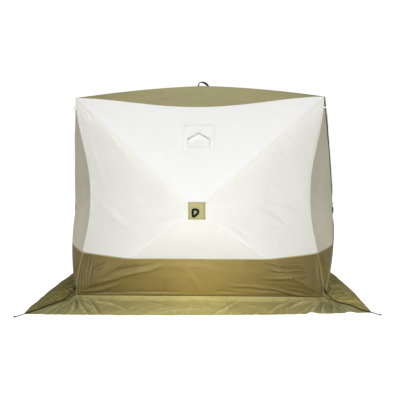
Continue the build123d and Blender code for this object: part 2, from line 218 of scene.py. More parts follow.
weave = {
    # noise: scale, detail, roughness, distortion
    "clouds": (2.6, 4.0, 0.55, 0.0),
    "stains": (17.0, 5.0, 0.6, 0.0),
    "fibres": (900.0, 2.0, 0.6, 0.0),
    "softCreases": (9.0, 4.0, 0.5, 0.6),
    "fineCreases": (36.0, 4.0, 0.5, 0.5),
    "cloudShare": 0.62,
    "threads": 620.0,
    "threadTwist": 0.6,
    "threadShare": 0.6,
    "threadDepth": 0.00028,
    "darkest": 0.90,
    "sheenRough": 0.45,
}


def grey(share):
    return (share,) * 3


def makeCloth(name, look):
    colour, worn, crease, rough, sheen, shine = look
    w = weave
    m = Maker(name)
    place = m.coords()
    thread = m.coords(uv=True)

    def blend(first, second, share):
        return m.math("ADD", m.math("MULTIPLY", first, share), m.math("MULTIPLY", second, 1 - share))

    stains = m.noise(place, *w["stains"])
    clouds = blend(m.noise(place, *w["clouds"]), stains, w["cloudShare"])
    tint = m.ramp(clouds, [(0.36, worn), (0.54, colour), (1.0, colour)])
    warp, weft = (m.wave(thread, w["threads"] / 6.283, axis, w["threadTwist"]) for axis in "XY")
    cloth = m.math("MULTIPLY", warp, weft)
    woven = blend(cloth, m.noise(thread, *w["fibres"]), w["threadShare"])
    base = m.mix(1.0, tint, m.ramp(woven, [(0.15, grey(w["darkest"])), (0.75, grey(1.0))]), "MULTIPLY")
    # Painted shade: the colour darkened along X, Y or Z by the ramps of the table above.
    for axis, stops in paintedShadeRamps.get(name, ()):
        parts = m.add("ShaderNodeSeparateXYZ")
        m.link(place, parts.inputs[0])
        far = m.math("ABSOLUTE", parts.outputs[axis], 0.0)
        base = m.mix(1.0, base, m.ramp(far, [(q, grey(share)) for q, share in stops]), "MULTIPLY")
    # Painted shade in the creases and painted light on the ridges, from the mesh's pointiness.
    if name in paintedCreaseShades:
        form = m.add("ShaderNodeNewGeometry").outputs["Pointiness"]
        shades = zip((0.42, 0.5, 0.57), map(grey, paintedCreaseShades[name]))
        base = m.mix(1.0, base, m.ramp(form, list(shades)), "MULTIPLY")
    m.link(base, m.shader.inputs["Base Color"])
    soft = m.noise(m.coords((0.42, 0.42, 1.0)), *w["softCreases"])
    fine = m.noise(m.coords((0.55, 0.55, 1.0)), *w["fineCreases"])
    folds = m.bump(fine, crease, 0.7, m.bump(soft, crease * 3.0, 0.8))
    m.link(m.bump(cloth, w["threadDepth"], 0.6, folds), m.shader.inputs["Normal"])
    wear = m.ramp(stains, [(0.3, grey(rough + 0.08)), (0.7, grey(rough - 0.05))])
    m.link(wear, m.shader.inputs["Roughness"])
    m.shader.inputs["Sheen Weight"].default_value = sheen
    m.shader.inputs["Sheen Roughness"].default_value = w["sheenRough"]
    m.shader.inputs["Specular IOR Level"].default_value = shine
    return m.material


def makeWebbing(name, colour, dust):
    m = Maker(name)
    place = m.coords()
    ribs = m.wave(m.coords(turn=(0.3, 0.2, 0.78)), 130.0, "X", 0.8)
    clouds = m.noise(place, 60.0, 3.0, 0.6)
    m.link(m.ramp(clouds, [(0.35, colour), (0.8, dust)]), m.shader.inputs["Base Color"])
    m.link(m.bump(m.math("ADD", ribs, clouds), 0.0006, 0.7), m.shader.inputs["Normal"])
    m.link(m.ramp(clouds, [(0.2, grey(0.75)), (0.8, grey(0.6))]), m.shader.inputs["Roughness"])
    m.shader.inputs["Specular IOR Level"].default_value = 0.2
    return m.material


def makeHard(name, colour, worn, rough, grain, depth):
    m = Maker(name)
    place = m.coords()
    clouds = m.noise(place, 24.0, 4.0, 0.6)
    pits = m.noise(place, grain, 2.0, 0.6)
    m.link(m.ramp(clouds, [(0.35, colour), (0.75, worn)]), m.shader.inputs["Base Color"])
    m.link(m.bump(pits, depth, 0.6), m.shader.inputs["Normal"])
    m.link(m.ramp(pits, [(0.3, grey(rough - 0.06)), (0.7, grey(rough + 0.08))]), m.shader.inputs["Roughness"])
    return m.material


webbingLooks = {
    # colour, colour of the dust on it
    "blackWebbing": ((0.006, 0.006, 0.006), (0.014, 0.013, 0.012)),
    "blackRope": ((0.005, 0.005, 0.005), (0.012, 0.011, 0.010)),
    "zipTape": ((0.03, 0.03, 0.03), (0.07, 0.068, 0.062)),
}
hardLooks = {
    # colour, colour where it is worn, roughness, grain, depth of its pits
    "glassFibre": ((0.02, 0.02, 0.02), (0.05, 0.05, 0.05), 0.3, 500.0, 0.0002),
    "mouldedHub": ((0.03, 0.03, 0.03), (0.06, 0.06, 0.06), 0.5, 900.0, 0.0003),
    "rubberBoot": ((0.035, 0.035, 0.035), (0.07, 0.07, 0.068), 0.75, 700.0, 0.0004),
    "zipMetal": ((0.10, 0.10, 0.10), (0.20, 0.20, 0.20), 0.4, 900.0, 0.0002),
    "whiteThread": ((0.80, 0.79, 0.74), (0.68, 0.66, 0.60), 0.7, 1500.0, 0.0002),
    "oliveThread": ((0.36, 0.32, 0.16), (0.26, 0.23, 0.11), 0.7, 1500.0, 0.0002),
    "darkThread": ((0.11, 0.09, 0.04), (0.08, 0.065, 0.03), 0.7, 1500.0, 0.0002),
    "blackThread": ((0.04, 0.04, 0.04), (0.08, 0.08, 0.075), 0.7, 1500.0, 0.0002),
}
looks = {name: makeCloth(name, look) for name, look in clothLooks.items()}
looks.update({name: makeWebbing(name, *look) for name, look in webbingLooks.items()})
looks.update({name: makeHard(name, *look) for name, look in hardLooks.items()})
print("stage: materials made")

# Ropes: X, Y and Z of the points that each is drawn through, in millimetres, and its length in metres.
ropes = {
    "thick": 7 * mm,
    "knot": {"steps": 36, "reach": 1.9, "rise": 2.4, "strand": 2.9, "ahead": 8.7},
    "right": {
        "length": 0.468,
        "points": [
            (1070, -1070, 67), (1092, -1082, 44), (1118, -1087, 22), (1144, -1094, 9),
            (1172, -1120, 7.6), (1206, -1150, 7.6), (1235, -1182, 7.6), (1249, -1226, 7.6),
            (1259, -1268, 7.6), (1288, -1302, 7.4), (1330, -1338, 6.4), (1362, -1385, 5),
        ],
    },
    "left": {
        "length": 0.527,
        "points": [
            (-1071, -1070, 67), (-1095, -1088, 44), (-1123, -1110, 20), (-1150, -1136, 8.4),
            (-1172, -1168, 7.6), (-1192, -1217, 7.6), (-1214, -1272, 7.6), (-1236, -1330, 7.6),
            (-1264, -1388, 7), (-1296, -1444, 5.8), (-1330, -1500, 5),
        ],
    },
}


def showMesh(name, vertices, faces, material, uv=None, smooth=True):
    mesh = bpy.data.meshes.new(name)
    mesh.from_pydata([tuple(p) for p in vertices], [], [tuple(f) for f in faces])
    mesh.validate()
    if uv is not None:
        layer = mesh.uv_layers.new(name="UVMap")
        corners = np.empty(len(mesh.loops), dtype=np.int32)
        mesh.loops.foreach_get("vertex_index", corners)
        layer.data.foreach_set("uv", np.asarray(uv, dtype=np.float32)[corners].ravel())
    mesh.polygons.foreach_set("use_smooth", [smooth] * len(mesh.polygons))
    mesh.materials.append(material)
    return addObject(name, mesh)


# Faces between rings of points, one ring after another; a closed row of rings has no end caps.
def ringFaces(count, around, closed=False):
    faces = []
    for i in range(count if closed else count - 1):
        j = (i + 1) % count
        for k in range(around):
            n = (k + 1) % around
            faces.append((i * around + k, i * around + n, j * around + n, j * around + k))
    if not closed:
        faces += [tuple(reversed(range(around))), tuple(range((count - 1) * around, count * around))]
    return faces


# Vertices and faces of a round tube along a list of points.
def ringTube(path, radius, sides=8, closed=False):
    path = [Vector(p) for p in path]
    count = len(path)
    vertices = []
    normal = None
    for i, spot in enumerate(path):
        ahead = path[(i + 1) % count] if closed or i + 1 < count else spot
        behind = path[i - 1] if closed or i else spot
        along = (ahead - behind).normalized()
        if normal is None:
            normal = along.orthogonal().normalized()
        normal = (normal - along * normal.dot(along)).normalized()
        other = along.cross(normal)
        for k in range(sides):
            angle = 2 * math.pi * k / sides
            vertices.append(spot + (normal * math.cos(angle) + other * math.sin(angle)) * radius)
    return vertices, ringFaces(count, sides, closed)


def makeRope(side):
    values = ropes[side]
    data = bpy.data.curves.new(side + "Rope", "CURVE")
    data.dimensions = "3D"
    data.resolution_u = 10
    data.bevel_depth = ropes["thick"] / 2
    data.bevel_resolution = 3
    data.use_fill_caps = True
    spline = data.splines.new("NURBS")
    points = values["points"]
    spline.points.add(len(points) - 1)
    for spot, point in zip(spline.points, points):
        spot.co = (point[0] * mm, point[1] * mm, point[2] * mm, 1)
    spline.order_u = 3
    spline.use_endpoint_u = True
    data.materials.append(looks["blackRope"])
    rope = addObject(side + "Rope", data)
    last = Vector(points[-1]) * mm
    run = (last - Vector(points[-2]) * mm).normalized()
    knot = makeKnot(side + "RopeKnot", last + run * ropes["knot"]["ahead"] * mm, run)
    for piece in (rope, knot):
        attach(piece, "root")
    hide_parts(side + "_rope")
    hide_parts("rope_knots")


# A small overhand knot: a trefoil of the rope, drawn tight.
def makeKnot(name, centre, run):
    knot = ropes["knot"]
    up = Vector((0, 0, 1))
    side = run.cross(up).normalized()
    path = []
    for i in range(knot["steps"]):
        t = 2 * math.pi * i / knot["steps"]
        reach = (2 + math.cos(3 * t)) * knot["reach"] * mm
        across = side * reach * math.cos(2 * t) + run * reach * math.sin(2 * t)
        path.append(centre + across + up * (knot["rise"] * mm * math.sin(3 * t) + knot["reach"] * mm))
    vertices, faces = ringTube(path, knot["strand"] * mm, 8, True)
    return showMesh(name, vertices, faces, looks["blackRope"])


makeRope("right")
makeRope("left")
print("stage: ropes laid")

# Form of the shelter in millimetres: how far its cloth is drawn in at the posts and the eave, and how it bows.
shelter = {
    "half": 1050.0,
    "seamHeight": 37.0,
    "cornerHeight": 1713.0,
    "roofHub": 2092.0,
    "wallHubs": {"front": 781.0, "right": 715.0, "back": 781.0, "left": 715.0},
    "reach": 400.0,
    "bandTop": 391.0,
    "postDraw": 96.0,
    "eaveDraw": 70.0,
    "eaveDip": 68.0,
    "upperFlex": 6.0,
    "lowerFlex": 34.0,
    "roofFlex": 16.0,
    "hubSquare": 50.0,
    "cloth": 3.0,
}
turns = {"front": 0, "right": 90, "back": 180, "left": 270}
sideNames = {"front": ("left", "right"), "right": ("front", "rear"),
             "back": ("right", "left"), "left": ("rear", "front")}


def arr(*values):
    return np.array(values, dtype=float)


# Control points of a curve, raised to degree four.
def raised(points):
    points = [np.asarray(p, float) for p in points]
    while len(points) < 5:
        n = len(points)
        inner = [points[i] * (1 - i / n) + points[i - 1] * (i / n) for i in range(1, n)]
        points = [points[0], *inner, points[-1]]
    return points


# A curve that bulges by a bow at its middle.
def bowed(start, end, bow):
    return raised([start, (start + end) / 2 + bow * 2, end])


# A straight seam drawn in at its middle.
def drawn(start, end, draw):
    points = [start + (end - start) * i / 4 for i in range(5)]
    points[2] = points[2] + draw * 8 / 3
    return points


# Control net of a surface between four edge curves.
def crossed(low, high, start, end):
    net = np.zeros((5, 5, 3))
    for j in range(5):
        v = j / 4
        for i in range(5):
            u = i / 4
            flat = (low[0] * (1 - u) + low[4] * u) * (1 - v) + (high[0] * (1 - u) + high[4] * u) * v
            net[j, i] = start[j] * (1 - u) + end[j] * u + low[i] * (1 - v) + high[i] * v - flat
    return net


def panelNet(hubEdge, seam, bows):
    low = raised(hubEdge)
    return crossed(low, seam, bowed(low[0], seam[0], bows[0]), bowed(low[4], seam[4], bows[1]))


def wallNets(name):
    s = shelter
    half, hub, hs = s["half"], s["wallHubs"][name], s["hubSquare"]
    out = -half - s["reach"] * (1 - hs / half)
    square = {(x, z): arr(x * hs, out, hub + z * hs) for x in (-1, 1) for z in (-1, 1)}
    base = {x: arr(x * half, -half, s["seamHeight"]) for x in (-1, 1)}
    top = {x: arr(x * half, -half, s["cornerHeight"]) for x in (-1, 1)}
    eave = drawn(top[-1], top[1], arr(0, s["eaveDraw"], -s["eaveDip"]))
    foot = raised([base[-1], base[1]])
    posts = {x: drawn(base[x], top[x], arr(-x, 1, 0) * s["postDraw"]) for x in (-1, 1)}
    upper, lower = arr(0, -s["upperFlex"], 0), arr(0, -s["lowerFlex"], 0)
    return {
        "upper": panelNet([square[-1, 1], square[1, 1]], eave, (upper, upper)),
        "lower": panelNet([square[-1, -1], square[1, -1]], foot, (lower, lower)),
        "left": panelNet([square[-1, -1], square[-1, 1]], posts[-1], (lower, upper)),
        "right": panelNet([square[1, -1], square[1, 1]], posts[1], (lower, upper)),
    }


def roofNet():
    s = shelter
    half, hs = s["half"], s["hubSquare"]
    height = s["roofHub"] - (s["roofHub"] - s["cornerHeight"]) * hs / half
    square = [arr(x * hs, -hs, height) for x in (-1, 1)]
    top = [arr(x * half, -half, s["cornerHeight"]) for x in (-1, 1)]
    eave = drawn(top[0], top[1], arr(0, s["eaveDraw"], -s["eaveDip"]))
    bow = arr(0, 0, s["roofFlex"])
    return panelNet(square, eave, (bow, bow))


def basis(t):
    t = np.asarray(t, float)[..., None]
    k = np.arange(5)
    return np.array([1, 4, 6, 4, 1]) * t ** k * (1 - t) ** (4 - k)


def surfaceAt(net, u, v):
    return np.einsum("...j,...i,jik->...k", basis(v), basis(u), net)


# Unit normals that point outward, and how fast the surface runs along u and v.
def framesAt(net, u, v, outward):
    step = 1e-4
    alongU = (surfaceAt(net, u + step, v) - surfaceAt(net, u - step, v)) / (2 * step)
    alongV = (surfaceAt(net, u, v + step) - surfaceAt(net, u, v - step)) / (2 * step)
    normal = np.cross(alongU, alongV)
    normal /= np.linalg.norm(normal, axis=-1, keepdims=True)
    sign = np.sign((normal * outward).sum(-1, keepdims=True))
    return normal * sign, np.linalg.norm(alongU, axis=-1), np.linalg.norm(alongV, axis=-1)


# Points of the front wall carried round to a named wall.
def spun(points, name):
    angle = math.radians(turns[name])
    c, s = math.cos(angle), math.sin(angle)
    x, y = points[..., 0], points[..., 1]
    return np.stack([x * c - y * s, x * s + y * c, points[..., 2]], -1)


def lattice(ix, iy, seed):
    n = (ix * 374761393 + iy * 668265263 + seed * 97531) & 0xFFFFFFFF
    n = ((n ^ (n >> 13)) * 1274126177) & 0xFFFFFFFF
    return ((n ^ (n >> 16)) & 0xFFFF) / 32767.5 - 1.0


# Smooth noise about zero over two coordinates.
def cloud(a, b, size, seed):
    a, b = a / size, b / size
    base = [np.floor(t).astype(np.int64) for t in (a, b)]
    share = [t - f for t, f in zip((a, b), base)]
    share = [t * t * (3 - 2 * t) for t in share]
    total = np.zeros_like(a)
    for i in (0, 1):
        for j in (0, 1):
            weight = (share[0] if i else 1 - share[0]) * (share[1] if j else 1 - share[1])
            total = total + weight * lattice(base[0] + i, base[1] + j, seed)
    return total


# Height of long folds, each from one point to another with a width and a height.
def foldHeight(a, b, folds):
    total = np.zeros_like(a)
    for a0, b0, a1, b1, width, height in folds:
        run = math.hypot(a1 - a0, b1 - b0)
        ua, ub = (a1 - a0) / run, (b1 - b0) / run
        along = (a - a0) * ua + (b - b0) * ub
        across = -(a - a0) * ub + (b - b0) * ua
        across = across + width * 0.5 * np.sin(along / run * 5.0 + a0)
        share = np.clip(along / run, 0, 1)
        ends = np.exp(-(np.clip(-along, 0, None) / (1.5 * width)) ** 2)
        ends = ends * np.exp(-(np.clip(along - run, 0, None) / (1.5 * width)) ** 2)
        taper = 0.35 + 0.65 * np.sin(math.pi * share) ** 0.7
        ridge = np.exp(-(across / width) ** 2)
        dip = np.exp(-((across - 1.7 * width) / (1.2 * width)) ** 2)
        total = total + height * ends * taper * (ridge - 0.55 * dip)
    return total


# Long folds that the photograph shows, in the plane of each wall: X, Z of both ends, width and height.
foldLines = {
    "front": [
        (-880, 170, -480, 280, 17, 22), (-870, 260, -750, 335, 13, 14), (-750, 220, -310, 325, 18, 18),
        (-1000, 65, -660, 150, 13, 16), (-1010, 45, -650, 50, 9, 16), (-650, 52, -150, 68, 10, 13),
        (-990, 330, -1010, 70, 8, 13), (-962, 340, -982, 70, 8, 15), (-930, 345, -956, 70, 8, 15),
        (-900, 330, -930, 90, 9, 12), (1020, 40, 590, 120, 12, 24), (590, 120, 270, 155, 15, 15),
        (1010, 48, 270, 90, 11, 17), (1010, 60, 720, 120, 12, 10), (850, 315, 550, 360, 11, 13),
        (880, 270, 590, 300, 11, 15), (880, 225, 610, 230, 11, 13), (830, 190, 520, 230, 13, 10),
        (985, 365, 1010, 120, 13, 20), (140, 75, 720, 50, 10, 14), (-100, 355, 10, 95, 26, 5),
        (-470, 350, 140, 305, 24, 5), (-1010, 1660, -860, 1585, 9, 3), (-1015, 1630, -890, 1500, 9, 3),
        (-970, 1668, -720, 1550, 12, 4.5), (-980, 1575, -930, 1485, 8, 6), (-950, 1580, -890, 1485, 8, 6),
        (-850, 1530, -560, 1235, 24, 2.5), (-820, 1445, -460, 1090, 28, 2.5),
        (-910, 1350, -820, 930, 24, 2.5), (-850, 800, -460, 580, 26, 6.5), (-770, 685, -370, 605, 24, 6),
        (-540, 855, -210, 805, 22, 6), (-370, 685, -50, 725, 22, 5), (410, 820, 760, 590, 20, 5),
        (510, 855, 830, 730, 18, 5), (210, 815, 510, 825, 20, 5), (140, 695, 410, 505, 22, 4.5),
        (570, 1330, 760, 1135, 20, 2), (670, 1375, 880, 1260, 18, 2), (450, 1090, 700, 935, 22, 2.5),
        (-250, 1250, -120, 1000, 26, 4), (300, 1500, 160, 1120, 30, 4),
    ],
    "right": [
        (-1015, 90, -985, 385, 9, 13), (-985, 80, -945, 385, 10, 15), (-945, 75, -885, 385, 11, 15),
        (-1010, 60, -520, 260, 22, 9), (-1000, 500, -560, 640, 24, 7), (-980, 760, -480, 720, 20, 6),
        (-900, 900, -420, 800, 22, 6), (1000, 70, 420, 240, 20, 8), (900, 1500, 560, 1200, 24, 5),
        (-860, 1480, -520, 1150, 22, 5), (-380, 90, 180, 180, 26, 5),
    ],
    "back": [
        (-1000, 60, -420, 240, 22, 9), (1010, 70, 520, 260, 22, 9), (-300, 100, 260, 170, 26, 5),
        (-900, 1540, -620, 1260, 22, 5), (880, 1520, 560, 1230, 22, 5), (-860, 760, -420, 690, 26, 5),
        (840, 640, 400, 560, 26, 5), (700, 1000, 380, 860, 26, 4),
    ],
    "left": [
        (1015, 90, 985, 385, 9, 13), (985, 80, 945, 385, 10, 15), (945, 75, 885, 385, 11, 15),
        (-1000, 70, -500, 250, 22, 9), (1010, 60, 480, 210, 22, 9), (-260, 90, 300, 180, 26, 5),
        (-880, 1520, -600, 1220, 22, 5), (900, 1540, 600, 1260, 22, 5), (880, 820, 420, 720, 26, 5),
        (-840, 660, -380, 580, 26, 5),
    ],
}

# Folds of each roof panel, in its plan.
roofFolds = {
    "front": [(-900, -980, -420, -700, 22, 5), (880, -960, 420, -760, 22, 5), (-120, -900, 240, -860, 26, 4)],
    "right": [(-880, -960, -460, -720, 22, 5), (820, -960, 420, -720, 22, 5)],
    "back": [(-900, -980, -420, -740, 22, 5), (840, -960, 380, -720, 22, 5)],
    "left": [(-860, -960, -420, -700, 22, 5), (880, -970, 440, -740, 22, 5)],
}
wrinkles = {
    "edgeFade": 16.0,
    "puckerDepth": 3.4,
    "puckerReach": 75.0,
    "sideReach": 50.0,
    "swell": 3.0,
    "ripple": 1.6,
    "limit": 26.0,
    "seeds": {"upper": 1, "lower": 2, "left": 3, "right": 4, "roof": 5},
    # sizes of the noise in millimetres
    "swellSizes": (230.0, 110.0),
    "rippleSize": 46.0,
    "puckerSizes": (30.0, 15.0),
    "sideSize": 34.0,
    "patchySize": 260.0,
}


# How far the cloth stands off the smooth form, in millimetres.
def wallRelief(name, panel, u, v, points, runU, runV):
    w = wrinkles
    seed = 11 * (1 + list(turns).index(name)) + w["seeds"][panel]
    alongSeam = u * runU
    toSeam = np.clip(1 - v, 0, 1) * runV
    toStart = np.clip(u, 0, 1) * runU
    toEnd = np.clip(1 - u, 0, 1) * runU
    x, z = points[..., 0], points[..., 1 if panel == "roof" else 2]
    height = foldHeight(x, z, (roofFolds if panel == "roof" else foldLines)[name])
    for k, size in enumerate(w["swellSizes"]):
        height = height + w["swell"] * 0.5 ** k * cloud(x, z, size, seed + k)
    height = height + w["ripple"] * cloud(x * 0.45, z, w["rippleSize"], seed + 2)
    broad, narrow = w["puckerSizes"]
    pucker = cloud(alongSeam, toSeam * 0.12, broad, seed + 3)
    pucker = pucker + 0.6 * cloud(alongSeam, toSeam * 0.2, narrow, seed + 4)
    patchy = 0.55 + 0.45 * cloud(alongSeam, toSeam * 0, w["patchySize"], seed + 5)
    height = height + w["puckerDepth"] * pucker * patchy * np.exp(-toSeam / w["puckerReach"])
    for near, shift in ((toStart, 6), (toEnd, 7)):
        side = cloud(v * runV, near * 0.15, w["sideSize"], seed + shift)
        height = height + 0.4 * w["puckerDepth"] * side * np.exp(-near / w["sideReach"])
    height = w["limit"] * np.tanh(height / w["limit"])
    room = np.minimum(np.minimum(toStart, toEnd), toSeam)
    fade = 1 - np.exp(-(room / w["edgeFade"]) ** 2)
    return height * fade


# Shares from the hub to the seam, closer together toward the seam.
def towardSeam(count):
    return 1 - (1 - np.linspace(0, 1, count)) ** 1.15


# Where the surface crosses a height, along v or u, for each value of the other.
def solveFor(net, fixed, height, axis):
    low, high = np.zeros_like(fixed), np.ones_like(fixed)
    for step in range(40):
        mid = (low + high) / 2
        z = surfaceAt(net, *((fixed, mid) if axis == "v" else (mid, fixed)))[..., 2]
        more = z > height if axis == "v" else z < height
        low = np.where(more, mid, low)
        high = np.where(more, high, mid)
    return (low + high) / 2


# Parameter grids of a wall panel's white part and of its olive part below the band seam.
def paramGrids(net, panel, columns, rows):
    line = shelter["bandTop"]
    across, down = np.linspace(0, 1, columns), towardSeam(rows)
    if panel == "upper":
        return {"cloth": tuple(np.meshgrid(across, down))}
    if panel == "lower":
        cross = solveFor(net, across, line, "v")
        u = np.tile(across, (rows, 1))
        v = down[:, None] * cross[None, :]
        fine = np.linspace(0, 1, columns * 2)
        cross = solveFor(net, fine, line, "v")
        share = np.linspace(0, 1, int(rows * 0.8))
        v2 = cross[None, :] + share[:, None] * (1 - cross[None, :])
        return {"cloth": (u, v), "band": (np.tile(fine, (len(share), 1)), v2)}
    first = float(solveFor(net, np.array([0.0]), line, "v")[0])
    half = rows // 2
    vWhite = np.concatenate([np.linspace(0, first, half, endpoint=False), np.linspace(first, 1, half)])
    start = np.where(vWhite > first, solveFor(net, vWhite, line, "u"), 0.0)
    u = start[:, None] + (1 - start[:, None]) * across[None, :]
    v = np.tile(vWhite[:, None], (1, columns))
    vBand = np.linspace(first, 1, int(rows * 0.8))
    stop = solveFor(net, vBand, line, "u")
    bandColumns = max(10, columns // 2)
    u2 = stop[:, None] * np.linspace(0, 1, bandColumns)[None, :]
    return {"cloth": (u, v), "band": (u2, np.tile(vBand[:, None], (1, bandColumns)))}


def gridFaces(rows, columns, offset=0, flip=False):
    faces = []
    for j in range(rows - 1):
        for i in range(columns - 1):
            a = offset + j * columns + i
            face = (a, a + 1, a + columns + 1, a + columns)
            faces.append(face[::-1] if flip else face)
    return faces


def gridArea(points):
    a = points[1:, 1:] - points[:-1, :-1]
    b = points[1:, :-1] - points[:-1, 1:]
    return float(np.linalg.norm(np.cross(a, b), axis=-1).sum() / 2)


# One grid of cloth on a panel, before it becomes a mesh.
class Patch:
    def __init__(self, name, panel, net, u, v, outward):
        smooth = surfaceAt(net, u, v)
        normal, runU, runV = framesAt(net, u, v, outward)
        relief = wallRelief(name, panel, u, v, smooth, runU, runV)
        self.points = smooth + normal * relief[..., None]
        self.normal = normal
        self.area = gridArea(smooth) * mm * mm
        self.uv = np.stack([(u - 0.5) * runU, v * runV], -1) * mm
        self.width = float(np.linalg.norm(np.diff(smooth[-1], axis=0), axis=1).sum()) * mm
        self.length = float(np.linalg.norm(np.diff(smooth, axis=0), axis=-1).sum(0).max()) * mm
        rows, columns = u.shape
        j, i = rows // 2, columns // 2
        face = np.cross(smooth[j, i + 1] - smooth[j, i], smooth[j + 1, i] - smooth[j, i])
        self.flip = float((face * normal[j, i]).sum()) < 0
        self.shape = (rows, columns)


# Mesh of several patches, with its thickness inside the outer face.
def joinPatches(name, wall, patches, material, keep=None):
    vertices, faces, uvs = [], [], []
    for patch in patches:
        points = spun(patch.points, wall) * mm
        offset = len(vertices)
        vertices.extend(points.reshape(-1, 3))
        uvs.extend(patch.uv.reshape(-1, 2))
        cells = gridFaces(*patch.shape, offset, patch.flip)
        if keep is not None:
            flat = patch.points.reshape(-1, 3)
            cells = [c for c in cells if keep(sum(flat[k - offset] for k in c) / 4)]
        faces.extend(cells)
    piece = showMesh(name, vertices, faces, material, uvs)
    editMesh(piece.data, cleanMesh)
    thicken(piece, shelter["cloth"])
    return piece


def editMesh(mesh, edit):
    work = bmesh.new()
    work.from_mesh(mesh)
    edit(work)
    work.to_mesh(mesh)
    work.free()


def cleanMesh(work):
    bmesh.ops.remove_doubles(work, verts=work.verts, dist=0.00002)
    bmesh.ops.dissolve_degenerate(work, edges=work.edges, dist=0.00002)
    bmesh.ops.delete(work, geom=[v for v in work.verts if not v.link_faces], context="VERTS")


def fixNormals(piece):
    editMesh(piece.data, lambda work: bmesh.ops.recalc_face_normals(work, faces=work.faces))


def bakeModifiers(piece):
    shown = piece.evaluated_get(bpy.context.evaluated_depsgraph_get())
    made = bpy.data.meshes.new_from_object(shown)
    old = piece.data
    piece.modifiers.clear()
    piece.data = made
    made.name = piece.name
    bpy.data.meshes.remove(old)


# Gives cloth its thickness in millimetres, inside its outer face unless the offset says otherwise.
def thicken(piece, thick, offset=-1):
    solid = piece.modifiers.new("thickness", "SOLIDIFY")
    solid.thickness = thick * mm
    solid.offset = offset
    bakeModifiers(piece)


def finish(piece, slot, *nodes):
    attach(piece, "root")
    if nodes:
        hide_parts(*nodes)
    return piece


density = {"front": (150, 84), "right": (96, 54), "back": (90, 50), "left": (90, 50), "roof": (92, 52)}
door = {"near": 110.0, "far": 800.0, "foot": 130.0, "head": 1440.0, "corner": 300.0, "lowCorner": 48.0}
skyward = arr(0, 0, 1)
outward = arr(0, -1, 0)


# Whether a spot of the right wall is inside the arched outline of the entrance.
def inDoor(spot):
    x, z = spot[0], spot[2]
    middleX, middleZ = (door["near"] + door["far"]) / 2, (door["foot"] + door["head"]) / 2
    corner = door["corner"] if z > middleZ else door["lowCorner"]
    dx = abs(x - middleX) - ((door["far"] - door["near"]) / 2 - corner)
    dz = abs(z - middleZ) - ((door["head"] - door["foot"]) / 2 - corner)
    return math.hypot(max(dx, 0), max(dz, 0)) + min(max(dx, dz), 0) - corner < 0


def outsideDoor(spot):
    return not inDoor(spot)


nets = {name: wallNets(name) for name in turns}
roofForm = roofNet()
wallTrees = {}
flapPatches = []


def clothName(wall, panel):
    if panel in ("upper", "lower"):
        return wall + panel.capitalize() + "Cloth", f"{wall}_{panel}_panel"
    side = sideNames[wall][0 if panel == "left" else 1]
    return wall + side.capitalize() + "Cloth", f"{wall}_{side}_panel"


# Area of a thickened piece's outer face.
def outerArea(piece):
    return sum(f.area for f in piece.data.polygons) / 2


def stretchPanel(wall, panel, patch):
    name, node = clothName(wall, panel)
    wide, cutOut = panel in ("upper", "lower"), wall == "right" and panel != "left"
    olive, shaded = wall == "right" and wide, wall in ("left", "right") and not wide
    plain = "litTopCloth" if panel == "upper" else "shadedWhiteCloth" if shaded else "whiteCloth"
    material = looks["oliveCloth" if olive else plain]
    piece = joinPatches(name, wall, [patch], material, outsideDoor if cutOut else None)
    finish(piece, "olive_cloth" if olive else "white_cloth", node)
    if cutOut:
        flapPatches.append(patch)
        patch.area = outerArea(piece) / (1 + 0.003)


def stretchBand(wall, bands):
    cutOut = wall == "right"
    material = looks["litFrontBandCloth" if wall == "front" else "oliveCloth"]
    piece = joinPatches(wall + "Band", wall, bands, material, outsideDoor if cutOut else None)
    finish(piece, "olive_cloth", wall + "_base_band")


def clothTree(patches):
    points, faces = [], []
    for patch in patches:
        faces.extend(gridFaces(*patch.shape, len(points), patch.flip))
        points.extend(patch.points.reshape(-1, 3).tolist())
    return BVHTree.FromPolygons(points, faces)


for wall in turns:
    columns, rows = density[wall]
    bands, whole = [], []
    for panel, net in nets[wall].items():
        grids = paramGrids(net, panel, columns if panel in ("upper", "lower") else int(columns * 0.8), rows)
        whole.append(Patch(wall, panel, net, *grids["cloth"], outward))
        stretchPanel(wall, panel, whole[-1])
        if "band" in grids:
            bands.append(Patch(wall, panel, net, *grids["band"], outward))
            whole.append(bands[-1])
    stretchBand(wall, bands)
    if wall == "right":
        flapPatches.extend(bands)
    wallTrees[wall] = clothTree(whole)

flap = joinPatches("entranceFlap", "right", flapPatches, looks["oliveCloth"], inDoor)
finish(flap, "olive_cloth", "entrance_flap")

columns, rows = density["roof"]
for wall in turns:
    u, v = np.meshgrid(np.linspace(0, 1, columns), towardSeam(rows))
    patch = Patch(wall, "roof", roofForm, u, v, skyward)
    piece = joinPatches("roof" + wall.capitalize() + "Cloth", wall, [patch], looks["roofCloth"])
    finish(piece, "olive_cloth", f"roof_{wall}_panel")
print("stage: cloth panels stretched")


# Point of a wall's cloth, in the front wall's coordinates, straight in from outside.
def onWall(wall, x, z, lift=0.0):
    spot, normal = wallTrees[wall].ray_cast(Vector((x, -3000, z)), Vector((0, 1, 0)))[:2]
    if spot is None:
        spot, normal = wallTrees[wall].find_nearest(Vector((x, -shelter["half"], z)))[:2]
    if normal.y > 0:
        normal = -normal
    return np.array(spot + normal * lift), np.array(normal)


# Points at a depth inside one edge of a panel, lifted off its smooth form.
def edgeLine(net, edge, t, depth, lift, outside):
    u, v = {"start": (0 * t, t), "end": (0 * t + 1, t), "seam": (t, 0 * t + 1)}[edge]
    normal, runU, runV = framesAt(net, u, v, outside)
    if edge == "start":
        u = u + depth / runU
    elif edge == "end":
        u = u - depth / runU
    else:
        v = v - depth / runV
    normal = framesAt(net, u, v, outside)[0]
    return surfaceAt(net, u, v) + normal * np.reshape(lift, (-1, 1))


